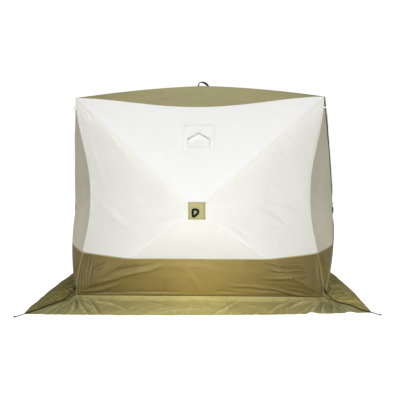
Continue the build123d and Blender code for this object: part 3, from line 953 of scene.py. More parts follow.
# Closed strip from rings of points, one ring after another, with its own UV.
def strip(rings):
    count, around = rings.shape[:2]
    steps = np.linalg.norm(np.diff(rings[:, 0], axis=0), axis=1)
    long = np.concatenate([[0], np.cumsum(steps)]) * mm
    wide = np.linspace(0, 1, around) * 0.03
    uv = np.stack(np.meshgrid(wide, long), -1).reshape(-1, 2)
    return rings.reshape(-1, 3) * mm, ringFaces(count, around), uv


def unit(vectors):
    return vectors / np.linalg.norm(vectors, axis=1, keepdims=True)


seams = {
    # widths and crowns of the tapes in millimetres
    # the wide tape on the right wall's upper rod seams is a strip of painted shadow
    "rod": 10.0, "paintedShadowRod": 46.0, "post": 11.0, "eave": 12.0,
    "crown": 1.6, "low": 0.7, "piping": 9.0,
    "lift": 1.1, "sunk": -0.9, "count": 120,
    "flare": {"span": (0.76, 0.87), "width": 110.0, "crown": 11.0, "count": 24},
}
tapes = {
    # piece, look, slot
    "whiteRod": ("rodSeamTapes", "tapeCloth", "white_cloth"),
    "oliveRod": ("oliveRodSeamTapes", "oliveTape", "olive_cloth"),
    # painted light: the front band's lower rod seams get the lighter band tape
    "frontRod": ("frontRodSeamTapes", "bandTape", "olive_cloth"),
    # painted light: the right wall's lower rod seams and the corner posts' olive part get the lighter side tape
    "sideRod": ("sideRodSeamTapes", "litOliveTape", "olive_cloth"),
    # painted shadow: dark strips on the right wall's upper rod seams
    "paintedShadowRod": ("darkRodSeamTapes", "paintedShadowTape", "olive_cloth"),
    "whitePost": ("cornerSeamTapes", "tapeCloth", "white_cloth"),
    "olivePost": ("oliveCornerSeamTapes", "litOliveTape", "olive_cloth"),
    "eave": ("eaveSeamTapes", "tapeCloth", "white_cloth"),
    "roof": ("roofSeamTapes", "oliveTape", "olive_cloth"),
}
taped = {key: [] for key in tapes}
sewn = {"white": [], "olive": []}


# A folded tape over the seam between two panels, and its stitches: one part above the band, one below.
def seamTape(sides, width, crown, keys, thread, count=seams["count"], span=(0, 1)):
    t = np.linspace(*span, count)
    if crown > 5:
        crown = crown * np.clip((t - 0.06) / 0.10, 0.1, 1)
    half, lift = width / 2, seams["lift"]
    profile = [(half, 0.1), (half - 0.5, 0.8), (half * 0.6, lift), (half * 0.28, lift + crown * 0.7)]

    def line(side, depth, lift):
        net, edge, wall, outside = side
        return spun(edgeLine(net, edge, t, depth, lift, outside), wall)

    lines = [line(side, *arm) for side, arms in zip(sides, (profile, profile[::-1])) for arm in arms]
    ridge = [line(side, 0.0, lift + crown) for side in sides]
    lines.insert(4, (ridge[0] + ridge[1]) / 2)
    for side, depth in ((1, half - 0.4), (1, 0.5), (0, 0.5), (0, half - 0.4)):
        lines.append(line(sides[side], depth, seams["sunk"]))
    rings = np.array(lines).transpose(1, 0, 2)
    stitches = [line(side, half * 0.66, lift + 0.05) * mm for side in sides]
    above = rings[:, 4, 2] > shelter["bandTop"]
    for below, chosen in enumerate((np.where(above)[0], np.where(~above)[0])):
        if len(chosen) < 2:
            continue
        first, last = chosen[0], chosen[-1]
        if below:
            first, last = max(first - 1, 0), min(last + 1, count - 1)
        taped[keys[below]].append(strip(rings[first:last + 1]))
        sewn["olive" if below else thread].extend(stitch[first:last + 1] for stitch in stitches)


# One piece from parts, each of vertices, faces and UV or None.
def joinParts(name, parts, material):
    vertices, faces, uvs = [], [], []
    for spots, cells, uv in parts:
        faces.extend([tuple(k + len(vertices) for k in cell) for cell in cells])
        vertices.extend(spots)
        uvs.extend([(0, 0)] * len(spots) if uv is None else uv)
    piece = showMesh(name, vertices, faces, material, uvs)
    fixNormals(piece)
    return piece


# Geometry Nodes that lay one stitch after another along every line of a mesh.
def stitchTree(material):
    tree = bpy.data.node_groups.new("stitchLine", "GeometryNodeTree")
    face = tree.interface
    face.new_socket("Geometry", in_out="INPUT", socket_type="NodeSocketGeometry")
    for label in ("Pitch", "Length", "Thickness"):
        face.new_socket(label, in_out="INPUT", socket_type="NodeSocketFloat")
    face.new_socket("Geometry", in_out="OUTPUT", socket_type="NodeSocketGeometry")

    def add(kind, **values):
        return addNode(tree, kind, **values)

    start, end = add("NodeGroupInput"), add("NodeGroupOutput")
    curve = add("GeometryNodeMeshToCurve")
    even = add("GeometryNodeResampleCurve", mode="LENGTH")
    stitch = add("GeometryNodeMeshCylinder", fill_type="NGON")
    stitch.inputs["Vertices"].default_value = 5
    place = add("GeometryNodeInstanceOnPoints")
    tangent = add("GeometryNodeInputTangent")
    aim = add("FunctionNodeAlignRotationToVector", axis="Z")
    real = add("GeometryNodeRealizeInstances")
    paint = add("GeometryNodeSetMaterial")
    paint.inputs["Material"].default_value = material
    for source, output, target, slot in (
            (start, "Geometry", curve, 0), (curve, 0, even, "Curve"), (start, "Pitch", even, "Length"),
            (start, "Length", stitch, "Depth"), (start, "Thickness", stitch, "Radius"),
            (tangent, 0, aim, "Vector"), (even, 0, place, "Points"), (stitch, "Mesh", place, "Instance"),
            (aim, 0, place, "Rotation"), (place, 0, real, 0), (real, 0, paint, "Geometry"), (paint, 0, end, 0)):
        tree.links.new(source.outputs[output], target.inputs[slot])
    return tree


stitchTrees = {}
stitchSize = {"pitch": 11.0, "length": 7.5, "thick": 0.75}


# Rows of stitches as one plain mesh.
def stitchLines(name, lines, material, slot, size=stitchSize):
    if material not in stitchTrees:
        stitchTrees[material] = stitchTree(looks[material])
    vertices, edges = [], []
    for line in lines:
        edges.extend([(len(vertices) + i, len(vertices) + i + 1) for i in range(len(line) - 1)])
        vertices.extend([tuple(p) for p in line])
    mesh = bpy.data.meshes.new(name + "Path")
    mesh.from_pydata(vertices, edges, [])
    path = addObject(name + "Path", mesh)
    nodes = path.modifiers.new("stitches", "NODES")
    nodes.node_group = stitchTrees[material]
    wanted = {"Pitch": size["pitch"] * mm, "Length": size["length"] * mm, "Thickness": size["thick"] * mm}
    for item in nodes.node_group.interface.items_tree:
        if item.in_out == "INPUT" and item.name in wanted:
            nodes[item.identifier] = wanted[item.name]
    made = bpy.data.meshes.new_from_object(path.evaluated_get(bpy.context.evaluated_depsgraph_get()))
    made.name = name
    piece = addObject(name, made)
    bpy.data.objects.remove(path)
    return finish(piece, slot)


def wallSide(wall, panel, edge):
    return (nets[wall][panel], edge, wall, outward)


names = list(turns)
for index, wall in enumerate(names):
    after = names[(index + 1) % 4]
    dark = wall == "right"
    thread, wide = ("olive", "paintedShadowRod") if dark else ("white", "rod")
    low = {"front": "frontRod", "right": "sideRod"}.get(wall, "oliveRod")
    for first, firstEdge, second, secondEdge, crown in (
            ("upper", "start", "left", "end", "crown"), ("upper", "end", "right", "end", "crown"),
            ("lower", "start", "left", "start", "low"), ("lower", "end", "right", "start", "low")):
        sides = [wallSide(wall, first, firstEdge), wallSide(wall, second, secondEdge)]
        # on the right wall the upper rod seams get a strip of painted shadow and the lower ones a tape painted
        # light
        high = ("sideRod" if first == "lower" else "paintedShadowRod") if dark else "whiteRod"
        seamTape(sides, seams[wide], seams["piping" if dark else crown], (high, low), thread)
        if dark and (first, firstEdge) == ("upper", "start"):
            # the flare is a wider olive flap on part of this seam, its colour darkened by the olive tape's
            # painted shade
            flare = seams["flare"]
            count = flare["count"]
            width = flare["width"] * np.sin(math.pi * np.linspace(0.03, 0.97, count)) ** 0.8
            seamTape(sides, width, flare["crown"], ("oliveRod", "oliveRod"), "olive", count, flare["span"])
    sides = [wallSide(wall, "right", "seam"), wallSide(after, "left", "seam")]
    seamTape(sides, seams["post"], seams["low"], ("whitePost", "olivePost"), "white")
    sides = [wallSide(wall, "upper", "seam"), (roofForm, "seam", wall, skyward)]
    seamTape(sides, seams["eave"], seams["low"], ("eave", "eave"), "white")
    sides = [(roofForm, "end", wall, skyward), (roofForm, "start", after, skyward)]
    seamTape(sides, seams["rod"], seams["crown"], ("roof", "roof"), "olive")

for key, (name, look, slot) in tapes.items():
    finish(joinParts(name, taped[key], looks[look]), slot)
stitchLines("whiteSeamStitches", sewn["white"], "whiteThread", "white_cloth")
stitchLines("oliveSeamStitches", sewn["olive"], "oliveThread", "olive_cloth")
print("stage: seams taped and stitched")

edging = {"width": 9.0, "lift": 1.3, "thick": 2.2, "stitches": 2.6, "count": 260}


# A flat strip along a line: its outer face lifted off the cloth, and so many millimetres thick.
def ribbon(points, normals, ups, width, lift, thick):
    half = width / 2
    profile = [(-half, lift - thick), (-half, lift), (-half * 0.5, lift + 0.35),
               (half * 0.5, lift + 0.35), (half, lift), (half, lift - thick)]
    vertices = np.array([points + ups * a + normals * b for a, b in profile]).transpose(1, 0, 2).reshape(-1, 3)
    long = np.concatenate([[0], np.cumsum(np.linalg.norm(np.diff(points, axis=0), axis=1))]) * mm
    uv = np.stack(np.meshgrid(np.linspace(0, 2 * width, len(profile)) * mm, long), -1).reshape(-1, 2)
    return vertices, ringFaces(len(points), len(profile)), uv


# The same strip, carried round to its wall.
def wallRibbon(wall, *values):
    vertices, faces, uv = ribbon(*values)
    return spun(vertices, wall) * mm, faces, uv


# Points and normals along a line of X, Z spots on a wall.
def wallLine(wall, spots):
    found = [onWall(wall, x, z) for x, z in spots]
    points, normals = (np.array(part) for part in zip(*found))
    for step in range(2):
        normals[1:-1] = (normals[:-2] + normals[1:-1] * 2 + normals[2:]) / 4
    return points, unit(normals)


def postX(height):
    share = (height - shelter["seamHeight"]) / (shelter["cornerHeight"] - shelter["seamHeight"])
    return shelter["half"] - shelter["postDraw"] * 16 * (share * (1 - share)) ** 2


bandParts, bandStitches = [], []
for wall in turns:
    reach = postX(shelter["bandTop"]) - 4
    xs = np.linspace(-reach, reach, edging["count"])
    points, normals = wallLine(wall, [(x, shelter["bandTop"]) for x in xs])
    ups = unit(np.cross(np.gradient(points, axis=0), normals))
    ups *= np.sign(ups[:, 2:3])
    bandParts.append(wallRibbon(wall, points, normals, ups, edging["width"], edging["lift"], edging["thick"]))
    for shift in (-edging["stitches"], edging["stitches"]):
        bandStitches.append(spun(points + ups * shift + normals * (edging["lift"] + 0.5), wall) * mm)
finish(joinParts("bandEdging", bandParts, looks["paleTape"]), "olive_cloth")
stitchLines("bandStitches", bandStitches, "oliveThread", "olive_cloth")
print("stage: band edged")

# Form of the skirt in millimetres: its corners, the depth of its creases and how many points it has.
skirt = {
    "slope": 62.0,
    "reach": 1425.0,
    "corner": 1330.0,
    "pulledCorner": (-1306.0, -1431.0),
    "columns": 330,
    "rows": 56,
    "cloth": 1.4,
    "fold": 15.0,
    "crumple": 11.0,
    "small": 2.2,
    "ropeRoom": 26.0,
    "limit": 30.0,
    "notches": {"front": ((874, 40, 34), (1171, 34, 30))},
    # the front flap's cloth is painted light, the left and right flaps' cloths are painted shade
    "looks": {"front": "litFrontSkirtCloth", "right": "shadedRightSkirtCloth",
              "back": "skirtCloth", "left": "shadedSideSkirtCloth"},
    # corner rays: height, how many in half a turn, where they are highest, how far they reach
    "rays": (22.0, 15, 190.0, 150.0),
    # hem: where it starts as a share of the skirt, and how flat it lies
    "hem": (0.76, 0.82),
    "sewn": 26.0,
    # how crumpled each wall's flap is, how much its creases cross, and how deep they are at the hem
    "crumpled": {"front": 0.35, "left": 1.5, "right": 1.6, "back": 0.8},
    "crossed": {"front": 0.2, "left": 1.0, "right": 1.0, "back": 1.0},
    "hemCreases": {"front": 13.0, "left": 3.0, "right": 3.0, "back": 3.0},
}

# Folds of the skirt in the plan of each wall: X, Y of both ends, width and height.
skirtFolds = {
    "front": [
        (-1051, -1075, -1088, -1423, 14, 22), (-1035, -1102, -958, -1437, 15, 24),
        (-1025, -1075, -827, -1433, 13, 24), (-933, -1100, -729, -1431, 13, 27),
        (-828, -1097, -564, -1318, 16, 16), (-498, -1090, -225, -1231, 18, 8),
        (-357, -1381, 18, -1278, 18, 6), (-73, -1096, 337, -1206, 18, 7), (347, -1080, 136, -1390, 17, 11),
        (765, -1073, 553, -1356, 16, 18), (940, -1061, 734, -1250, 14, 20),
        (1025, -1076, 828, -1388, 15, 24), (1090, -1091, 1053, -1382, 15, 20),
        (1143, -1120, 1169, -1317, 14, 18),
    ],
    "right": [
        (-1080, -1080, -1290, -1200, 16, 14), (-1000, -1075, -1120, -1380, 16, 17),
        (-880, -1080, -960, -1360, 18, 16), (-720, -1080, -560, -1390, 18, 15),
        (-420, -1080, -520, -1380, 18, 15), (-180, -1100, 60, -1360, 20, 13),
        (420, -1090, 300, -1380, 18, 14), (760, -1090, 880, -1380, 18, 14),
    ],
    "left": [
        (1080, -1085, 1380, -1200, 15, 13), (1010, -1075, 1180, -1330, 16, 17),
        (880, -1080, 900, -1360, 17, 17), (640, -1080, 760, -1390, 18, 16),
        (420, -1080, 300, -1420, 18, 15), (60, -1090, 200, -1420, 18, 14),
        (-420, -1090, -260, -1380, 18, 13),
    ],
    "back": [
        (-960, -1080, -1080, -1380, 16, 16), (-620, -1080, -480, -1380, 18, 14),
        (-60, -1090, -220, -1380, 18, 13), (460, -1080, 600, -1380, 18, 15),
        (940, -1080, 1120, -1360, 16, 16),
    ],
}


# Distance in the plan from each point to the nearer rope.
def besideRopes(world):
    flat = world[..., :2].reshape(-1, 2)
    nearest = np.full(len(flat), 1e9)
    for side in ("left", "right"):
        line = np.array(ropes[side]["points"], float)[:, :2]
        for a, b in zip(line, line[1:]):
            run = b - a
            share = np.clip(((flat - a) @ run) / (run @ run), 0, 1)
            nearest = np.minimum(nearest, np.linalg.norm(flat - a - share[:, None] * run, axis=1))
    return nearest.reshape(world.shape[:-1])


# A ridge along each line where the field is zero.
def sharp(field, width):
    return np.clip(1 - np.abs(field) / width, 0, 1) ** 1.6


# Outer edge of a flap, for each share of its width: X and Y, and how it fades at the ends.
def skirtEdge(wall, t, seed):
    s = skirt
    low, high = arr(-s["corner"], -s["corner"]), arr(s["corner"], -s["corner"])
    if wall == "front":
        low = arr(*s["pulledCorner"])
    if wall == "left":
        high = arr(-s["pulledCorner"][1], s["pulledCorner"][0])
    blend = (t + 1) / 2
    x, ends = (low[k] * (1 - blend) + high[k] * blend for k in (0, 1))
    y = ends - (s["reach"] + (low[1] + high[1]) / 2) * (1 - t ** 2)
    endFade = 1 - np.abs(t) ** 14
    wobble = 4.0 * cloud(x, 0 * x, 160.0, seed) + 1.5 * cloud(x, 0 * x, 60.0, seed + 1)
    for centre, width, depth in s["notches"].get(wall, ()):
        wobble = wobble + depth * np.exp(-((x - centre) / width) ** 4)
    return x, y + wobble * endFade, endFade


# Height of a flap's creases, before it is sewn down; gone is how far a point is from the wall.
def skirtRelief(wall, x, y, radial, gone, share, seed):
    s = skirt
    lean = 0.35 * cloud(radial, 0 * y, 260.0, seed + 9) * gone
    folds = sharp(cloud(radial + lean, gone * 0.22, 74.0, seed + 2), 0.22)
    broad = sharp(cloud(radial - lean, gone * 0.35, 150.0, seed + 3), 0.30)
    cross = sharp(cloud(x * 0.8, y * 1.8, 150.0, seed + 4), 0.20)
    cross = cross + 0.6 * sharp(cloud(x * 1.3 + y, y * 1.3 - x * 0.6, 90.0, seed + 10), 0.18)
    small = cloud(x, y, 24.0, seed + 5)
    relief = s["fold"] * (folds * 0.75 + broad) + s["crumple"] * cross * s["crossed"][wall] + s["small"] * small
    relief = relief * s["crumpled"][wall]
    fine = np.clip(cloud(x + 0.25 * gone, gone * 0.15, 26.0, seed + 11), 0, 1) * np.clip(share - 0.35, 0, 1)
    relief = relief + foldHeight(x, y, skirtFolds[wall]) + s["hemCreases"][wall] * 2 * fine
    dx, dy = np.abs(x) - shelter["half"], -y - shelter["half"]
    high, count, middle, reach = s["rays"]
    rays = np.clip(np.sin(np.arctan2(dy, np.abs(dx) + 1e-6) * count + seed * 0.7), 0, 1) ** 3
    relief = relief + high * rays * np.exp(-((np.hypot(dx, dy) - middle) / reach) ** 2)
    return s["limit"] * np.tanh(np.clip(relief, 0, None) / s["limit"])


def skirtPoints(wall, seed):
    s = skirt
    half = shelter["half"]
    t = np.linspace(-1, 1, s["columns"])
    share = np.linspace(0, 1, s["rows"])[:, None]
    outX, outY, endFade = skirtEdge(wall, t, seed)
    inX, inY = t * (half - 1), np.full_like(t, -half + 1)
    x = inX[None, :] + (outX - inX)[None, :] * share
    y = inY[None, :] + (outY - inY)[None, :] * share
    gone = inY[None, :] - y
    gone = gone + (share * 300.0 - gone) * np.abs(t[None, :]) ** 24
    drop = (shelter["seamHeight"] - 1) * (1 - np.clip(gone / s["slope"], 0, 1)) ** 1.6
    radial = t[None, :] * half + 0 * y
    relief = skirtRelief(wall, x, y, radial, gone, share, seed)
    sew = 1 - np.exp(-(gone / s["sewn"]) ** 2)
    edgeSeam = 1 - np.abs(t[None, :]) ** 50
    plan = spun(np.stack([x, y, 0 * x], -1), wall)
    groove = 1 - np.exp(-(besideRopes(plan) / s["ropeRoom"]) ** 4)
    start, flat = s["hem"]
    hemFade = 1 - flat * np.clip((share - start) / (1 - start), 0, 1)
    z = np.maximum(drop + relief * sew * edgeSeam * groove * hemFade, 0) + s["cloth"] + 0.4
    slant = relief * sew * 0.35 * cloud(radial, gone * 0.3, 90.0, seed + 7)
    return np.stack([x + slant * endFade[None, :], y, z], -1), share


hemLines = []
for index, wall in enumerate(turns):
    points, share = skirtPoints(wall, 101 + 7 * index)
    uv = np.stack([points[..., 0], (share * 380 + 0 * points[..., 0])], -1) * mm
    vertices = (spun(points, wall) * mm).reshape(-1, 3)
    faces = gridFaces(*points.shape[:2], 0, True)
    piece = showMesh(wall + "Skirt", vertices, faces, looks[skirt["looks"][wall]], uv.reshape(-1, 2))
    if piece.data.polygons[len(piece.data.polygons) // 2].normal.z < 0:
        piece.data.flip_normals()
    thicken(piece, skirt["cloth"])
    finish(piece, "skirt_cloth", wall + "_skirt")
    for depth in (2, 4):
        row = points[-depth] + np.array([0, 0, 0.5])
        hemLines.append(spun(row, wall) * mm)
stitchLines("skirtHemStitches", hemLines, "oliveThread", "skirt_cloth")
print("stage: skirt laid")

baseSeam = {
    # middle above the seam, second spot above it, and how many points
    "middle": 5.0, "above": 9.0, "count": 220,
    # width, lift and thickness
    "tape": (14.0, 2.0, 2.6),
    # piping: a dark strip under the base tape, a painted shadow where the seam shades the skirt
    "piping": (8.0, 3.2, 2.4),
}
baseParts, baseStitches, basePaintedShadowParts = [], [], []
for wall in turns:
    net = nets[wall]["lower"]
    t = np.linspace(0.0, 1.0, baseSeam["count"])
    normal, runU, runV = framesAt(net, t, 0 * t + 1, outward)
    points = surfaceAt(net, t, 1 - baseSeam["middle"] / runV)
    ups = unit(surfaceAt(net, t, 1 - baseSeam["above"] / runV) - points)
    baseParts.append(wallRibbon(wall, points, normal, ups, *baseSeam["tape"]))
    baseStitches.append(spun(points + ups * 3.5 + normal * 2.5, wall) * mm)
    # painted shadow: a dark strip along the foot of each wall
    basePaintedShadowParts.append(wallRibbon(wall, points - ups * 3.0, normal, ups, *baseSeam["piping"]))
finish(joinParts("baseSeamTapes", baseParts, looks["oliveTape"]), "olive_cloth")
finish(joinParts("basePiping", basePaintedShadowParts, looks["paintedShadowTape"]), "olive_cloth")
stitchLines("baseStitches", baseStitches, "oliveThread", "olive_cloth")

# Hub patches in millimetres: half their width, the hub's top, and how high they lie far from its middle.
hubs = {
    "half": 65.0, "top": 32.0, "count": 25, "cloth": 1.8, "seed": 300,
    "far": [0, 26, 36, 50, 66, 80],
    "height": [7.3, 7.0, 6.0, 3.1, -1.4, -6.0],
    "ridge": 3.4, "ridgeWidth": 9.0,
    "insets": (5.0, 11.0),
    "stitches": {"pitch": 5.5, "length": 4.0, "thick": 0.5},
    "tacks": {"count": 9, "length": 11.0, "thick": 0.9, "inset": 7.5},
}
hubNodes = {"front": "front_hub_patch", "roof": "roof_hub_patch"}


# Function from a, b in the hub's plane and height above it to the shelter's frame.
def hubPlace(wall):
    s = shelter
    if wall == "roof":
        level = s["roofHub"] - (s["roofHub"] - s["cornerHeight"]) * s["hubSquare"] / s["half"]
        return lambda a, b, h: np.stack([a, b, level + h], -1) * mm
    out = -s["half"] - s["reach"] * (1 - s["hubSquare"] / s["half"])
    return lambda a, b, h: spun(np.stack([a, out - h, s["wallHubs"][wall] + b], -1), wall) * mm


def patchHeight(a, b, seed):
    far = np.maximum(np.abs(a), np.abs(b))
    soft = (np.abs(a) ** 6 + np.abs(b) ** 6) ** (1 / 6)
    ridge = hubs["ridge"] * np.exp(-((np.abs(a) - np.abs(b)) / hubs["ridgeWidth"]) ** 2)
    ridge = ridge * np.clip((far - 36) / 16, 0, 1)
    uneven = 0.5 * cloud(a, b, 22.0, seed) * np.clip((far - 20) / 20, 0, 1)
    return np.interp(soft, hubs["far"], hubs["height"]) + ridge + uneven


def hubPatch(name, wall, seed):
    place, half, count = hubPlace(wall), hubs["half"], hubs["count"]
    t = np.linspace(-half, half, count)
    a, b = np.meshgrid(t, t)
    a = a * (1 - 0.03 * (1 - (b / half) ** 2) * (np.abs(a / half) ** 8))
    uv = np.stack([a, b], -1).reshape(-1, 2) * mm
    vertices = place(a, b, patchHeight(a, b, seed)).reshape(-1, 3)
    piece = showMesh(name, vertices, gridFaces(count, count), looks["patchCloth"], uv)
    above = Vector(place(arr(0), arr(0), arr(100))[0])
    face = piece.data.polygons[len(piece.data.polygons) // 2]
    if (above - face.center).dot(face.normal) < 0:
        piece.data.flip_normals()
    thicken(piece, hubs["cloth"])
    lines = []
    for inset in hubs["insets"]:
        edge = half - inset
        run = np.linspace(-edge, edge, 24)
        flat = 0 * run
        for a, b in ((run, flat - edge), (flat + edge, run), (-run, flat + edge), (flat - edge, -run)):
            lines.append(place(a, b, patchHeight(a, b, seed) + 0.35))
    return piece, lines


def hubTacks(wall, seed):
    place, tacks = hubPlace(wall), hubs["tacks"]
    parts = []
    for side in (-1, 1):
        for b in np.linspace(-hubs["half"] + 7, hubs["half"] - 7, tacks["count"]):
            a = side * (hubs["half"] - tacks["inset"]) + np.linspace(-0.5, 0.5, 5) * tacks["length"]
            path = place(a, b + 0 * a, patchHeight(a, b + 0 * a, seed) + 0.5)
            parts.append((*ringTube(path, tacks["thick"] * mm, 6), None))
    return parts


patchStitches, tackParts = [], []
for index, wall in enumerate([*turns, "roof"]):
    piece, lines = hubPatch(wall + "HubPatch", wall, hubs["seed"] + index)
    finish(piece, "patch_cloth", hubNodes.get(wall, "side_hub_patches"))
    patchStitches.extend(lines)
    tackParts.extend(hubTacks(wall, hubs["seed"] + index))
stitchLines("hubPatchStitches", patchStitches, "oliveThread", "patch_cloth", hubs["stitches"])
finish(joinParts("hubPatchTacks", tackParts, looks["darkThread"]), "patch_cloth")
print("stage: hub patches sewn")

pull = {
    "band": 17.0, "depth": 11.0, "lift": 7.4, "smooth": 5, "sides": 12,
    # middle of the webbing in the hub's plane, from the top left round the right side
    "line": [(-28, 7), (-19, 10), (-5, 10), (7, 5), (12, -6), (8, -17),
             (-1, -27), (-11, -36), (-21, -41), (-28, -37), (-29, -22), (-29, -7)],
}


# A closed curve through the points, as many steps from each to the next.
def smoothLoop(spots, steps):
    spots = np.array(spots, float)
    count = len(spots)
    made = []
    for i in range(count):
        p0, p1, p2, p3 = (spots[(i + k) % count] for k in (-1, 0, 1, 2))
        for k in range(steps):
            t = k / steps
            made.append(0.5 * (2 * p1 + (p2 - p0) * t + (2 * p0 - 5 * p1 + 4 * p2 - p3) * t ** 2
                               + (3 * p1 - p0 - 3 * p2 + p3) * t ** 3))
    return np.array(made)


def pullLoop(name, wall):
    place = hubPlace(wall)
    middle = smoothLoop(pull["line"], pull["smooth"])
    tangent = unit(np.roll(middle, -1, 0) - np.roll(middle, 1, 0))
    inward = np.stack([-tangent[:, 1], tangent[:, 0]], -1)
    ring = []
    for k in range(pull["sides"]):
        angle = 2 * math.pi * k / pull["sides"]
        across, up = (math.copysign(abs(q) ** 0.5, q) for q in (math.cos(angle), math.sin(angle)))
        spots = middle + inward * across * (pull["band"] / 2)
        height = pull["lift"] + pull["depth"] / 2 + up * pull["depth"] / 2
        ring.append(place(spots[:, 0], spots[:, 1], height + 0 * spots[:, 0]))
    vertices = np.array(ring).transpose(1, 0, 2).reshape(-1, 3)
    faces = ringFaces(len(middle), pull["sides"], True)
    return joinParts(name, [(vertices, faces, None)], looks["blackWebbing"])


for wall in turns:
    piece = pullLoop(wall + "PullLoop", wall)
    finish(piece, "black_webbing", "front_pull_loop" if wall == "front" else "side_pull_loops")


# The roof's loop in millimetres and degrees: an arch that leans over, doubled at one foot.
archLoop = {
    "radius": 56.0, "band": 6.0, "width": 28.0, "turn": 22.0, "lean": -0.30, "doubled": 13.0,
    "stretch": 1.28, "squeeze": 0.86, "lift": 7.3, "sink": 0.235, "flatFrom": 45, "bevel": 1.2, "count": 48,
}


# Corners of a strap's section, with bevelled edges: from and to across it, from and to through it.
def strapProfile(low, high, under, over, e):
    return [(low, under + e), (low + e, under), (high - e, under), (high, under + e),
            (high, over - e), (high - e, over), (low + e, over), (low, over - e)]


def roofLoop():
    s = archLoop
    place = hubPlace("roof")
    radius, band, turn = s["radius"], s["band"], math.radians(s["turn"])
    t = np.linspace(0, math.pi, s["count"])
    nearest = (radius - band) / math.cos(math.radians(45 - s["turn"])) / math.sqrt(2)
    drop = (nearest - hubs["top"]) * s["sink"]
    rings = []
    for side, deep in strapProfile(-s["width"] / 2, s["width"] / 2, 0, band, s["bevel"]):
        far = radius - band + deep * (1 + s["doubled"] / band * np.clip(1 - t / 1.5, 0, 1) ** 0.5)
        a, h = far * np.cos(t), far * np.sin(t) - drop + s["lift"]
        a = np.where(a > 0, a * s["stretch"], a * s["squeeze"]) + s["lean"] * np.clip(h, 0, None)
        h = h - 0.3 * np.clip(np.abs(a) - s["flatFrom"], 0, None)
        x, y = a * math.cos(turn) - side * math.sin(turn), a * math.sin(turn) + side * math.cos(turn)
        rings.append(place(x, y, h) / mm)
    return joinParts("roofPullLoop", [strip(np.array(rings).transpose(1, 0, 2))], looks["blackWebbing"])


finish(roofLoop(), "black_webbing", "roof_pull_loop")
print("stage: pull loops hung")

vent = {
    "x": 3.0, "z": 1352.0, "width": 256.0, "height": 250.0,
    "hoodWidth": 190.0, "hoodRise": 56.0, "hoodLeg": 82.0, "hoodReach": 34.0,
    "inset": 16.0, "holeLeg": 74.0, "middle": (0.0, -14.0),
    # rows of points, lift and thickness
    "patch": (10, 2.7, 2.2), "mesh": (14, 0.5, 0.8),
    "stitches": {"pitch": 6.0, "length": 4.2, "thick": 0.5},
}


# Spots from one point toward another, as many steps as asked, without the last.
def spotsBetween(start, end, count):
    return [(start[0] + (end[0] - start[0]) * k / count, start[1] + (end[1] - start[1]) * k / count)
            for k in range(count)]


# Spot of the front wall's cloth, from the vent's middle, in metres.
def ventSpot(x, z, lift):
    return onWall("front", vent["x"] + x, vent["z"] + z, lift)[0] * mm


# Corners of a gable over two straight sides, from low left, about the vent's middle.
def gableOutline(inset, leg):
    side = vent["hoodWidth"] / 2 - inset
    slope = 2 * vent["hoodRise"] / vent["hoodWidth"]
    peak = vent["hoodRise"] - inset * math.hypot(1, slope)
    return [(-side, -leg), (-side, peak - slope * side), (0, peak), (side, peak - slope * side), (side, -leg)]


def squareOutline(width, height):
    a, b = width / 2, height / 2
    return [(-a, -b), (-a, b), (a, b), (a, -b)]


# Sides of a closed outline.
def sidesOf(outline):
    return zip(outline, outline[1:] + outline[:1])


# Where a ray from the middle meets a closed outline.
def reachOf(outline, middle, angle):
    dx, dz = math.cos(angle), math.sin(angle)
    for (x0, z0), (x1, z1) in sidesOf(outline):
        ex, ez = x1 - x0, z1 - z0
        cross = dx * ez - dz * ex
        if abs(cross) < 1e-9:
            continue
        far = ((x0 - middle[0]) * ez - (z0 - middle[1]) * ex) / cross
        share = ((x0 - middle[0]) * dz - (z0 - middle[1]) * dx) / cross
        if far > 0 and -1e-9 <= share <= 1 + 1e-9:
            return middle[0] + dx * far, middle[1] + dz * far
    raise ValueError("the outline isn't closed")


# Cloth on the front wall between two outlines; an inner outline of None fills it to its middle.
def ventRing(name, inner, outer, look, rows, lift, thick):
    middle = vent["middle"]
    angles = [math.atan2(z - middle[1], x - middle[0]) for x, z in (inner or []) + outer]
    angles += list(np.linspace(-math.pi, math.pi, 72, endpoint=False))
    angles = sorted({round(a, 5) for a in angles})
    vertices, faces, uv = [], [], []
    for row in range(rows + 1):
        share = row / rows
        for angle in angles:
            far = reachOf(outer, middle, angle)
            near = [m + (f - m) * 0.02 for m, f in zip(middle, far)]
            if inner:
                near = reachOf(inner, middle, angle)
            x, z = (n + (f - n) * share for n, f in zip(near, far))
            vertices.append(ventSpot(x, z, lift))
            uv.append((x * mm, z * mm))
    count = len(angles)
    for row in range(rows):
        for k in range(count):
            n = (k + 1) % count
            faces.append((row * count + k, (row + 1) * count + k, (row + 1) * count + n, row * count + n))
    if inner is None:
        faces.append(tuple(range(count)))
    piece = showMesh(name, vertices, faces, looks[look], uv)
    fixNormals(piece)
    if sum(f.normal.y for f in piece.data.polygons) > 0:
        piece.data.flip_normals()
    thicken(piece, thick)
    return piece


def ventLines(outline, count, lift):
    lines = []
    for start, end in sidesOf(outline):
        spots = [*spotsBetween(start, end, count), end]
        lines.append([ventSpot(x, z, lift) for x, z in spots])
    return lines


def ventPatch():
    inset, leg = vent["inset"], vent["holeLeg"]
    outline = squareOutline(vent["width"], vent["height"])
    piece = ventRing("ventPatch", gableOutline(inset, leg), outline, "tapeCloth", *vent["patch"])
    finish(piece, "white_cloth", "vent_patch")
    lines = []
    for near in (5.0, 10.0):
        lines += ventLines(squareOutline(vent["width"] - 2 * near, vent["height"] - 2 * near), 40, 3.0)
    lines += ventLines(gableOutline(inset - 5, leg + 5), 20, 3.0)
    stitchLines("ventPatchStitches", lines, "whiteThread", "white_cloth", vent["stitches"])
    mesh = ventRing("ventMesh", None, gableOutline(inset - 3, leg + 3), "meshCloth", *vent["mesh"])
    finish(mesh, "mesh_cloth", "vent_mesh")


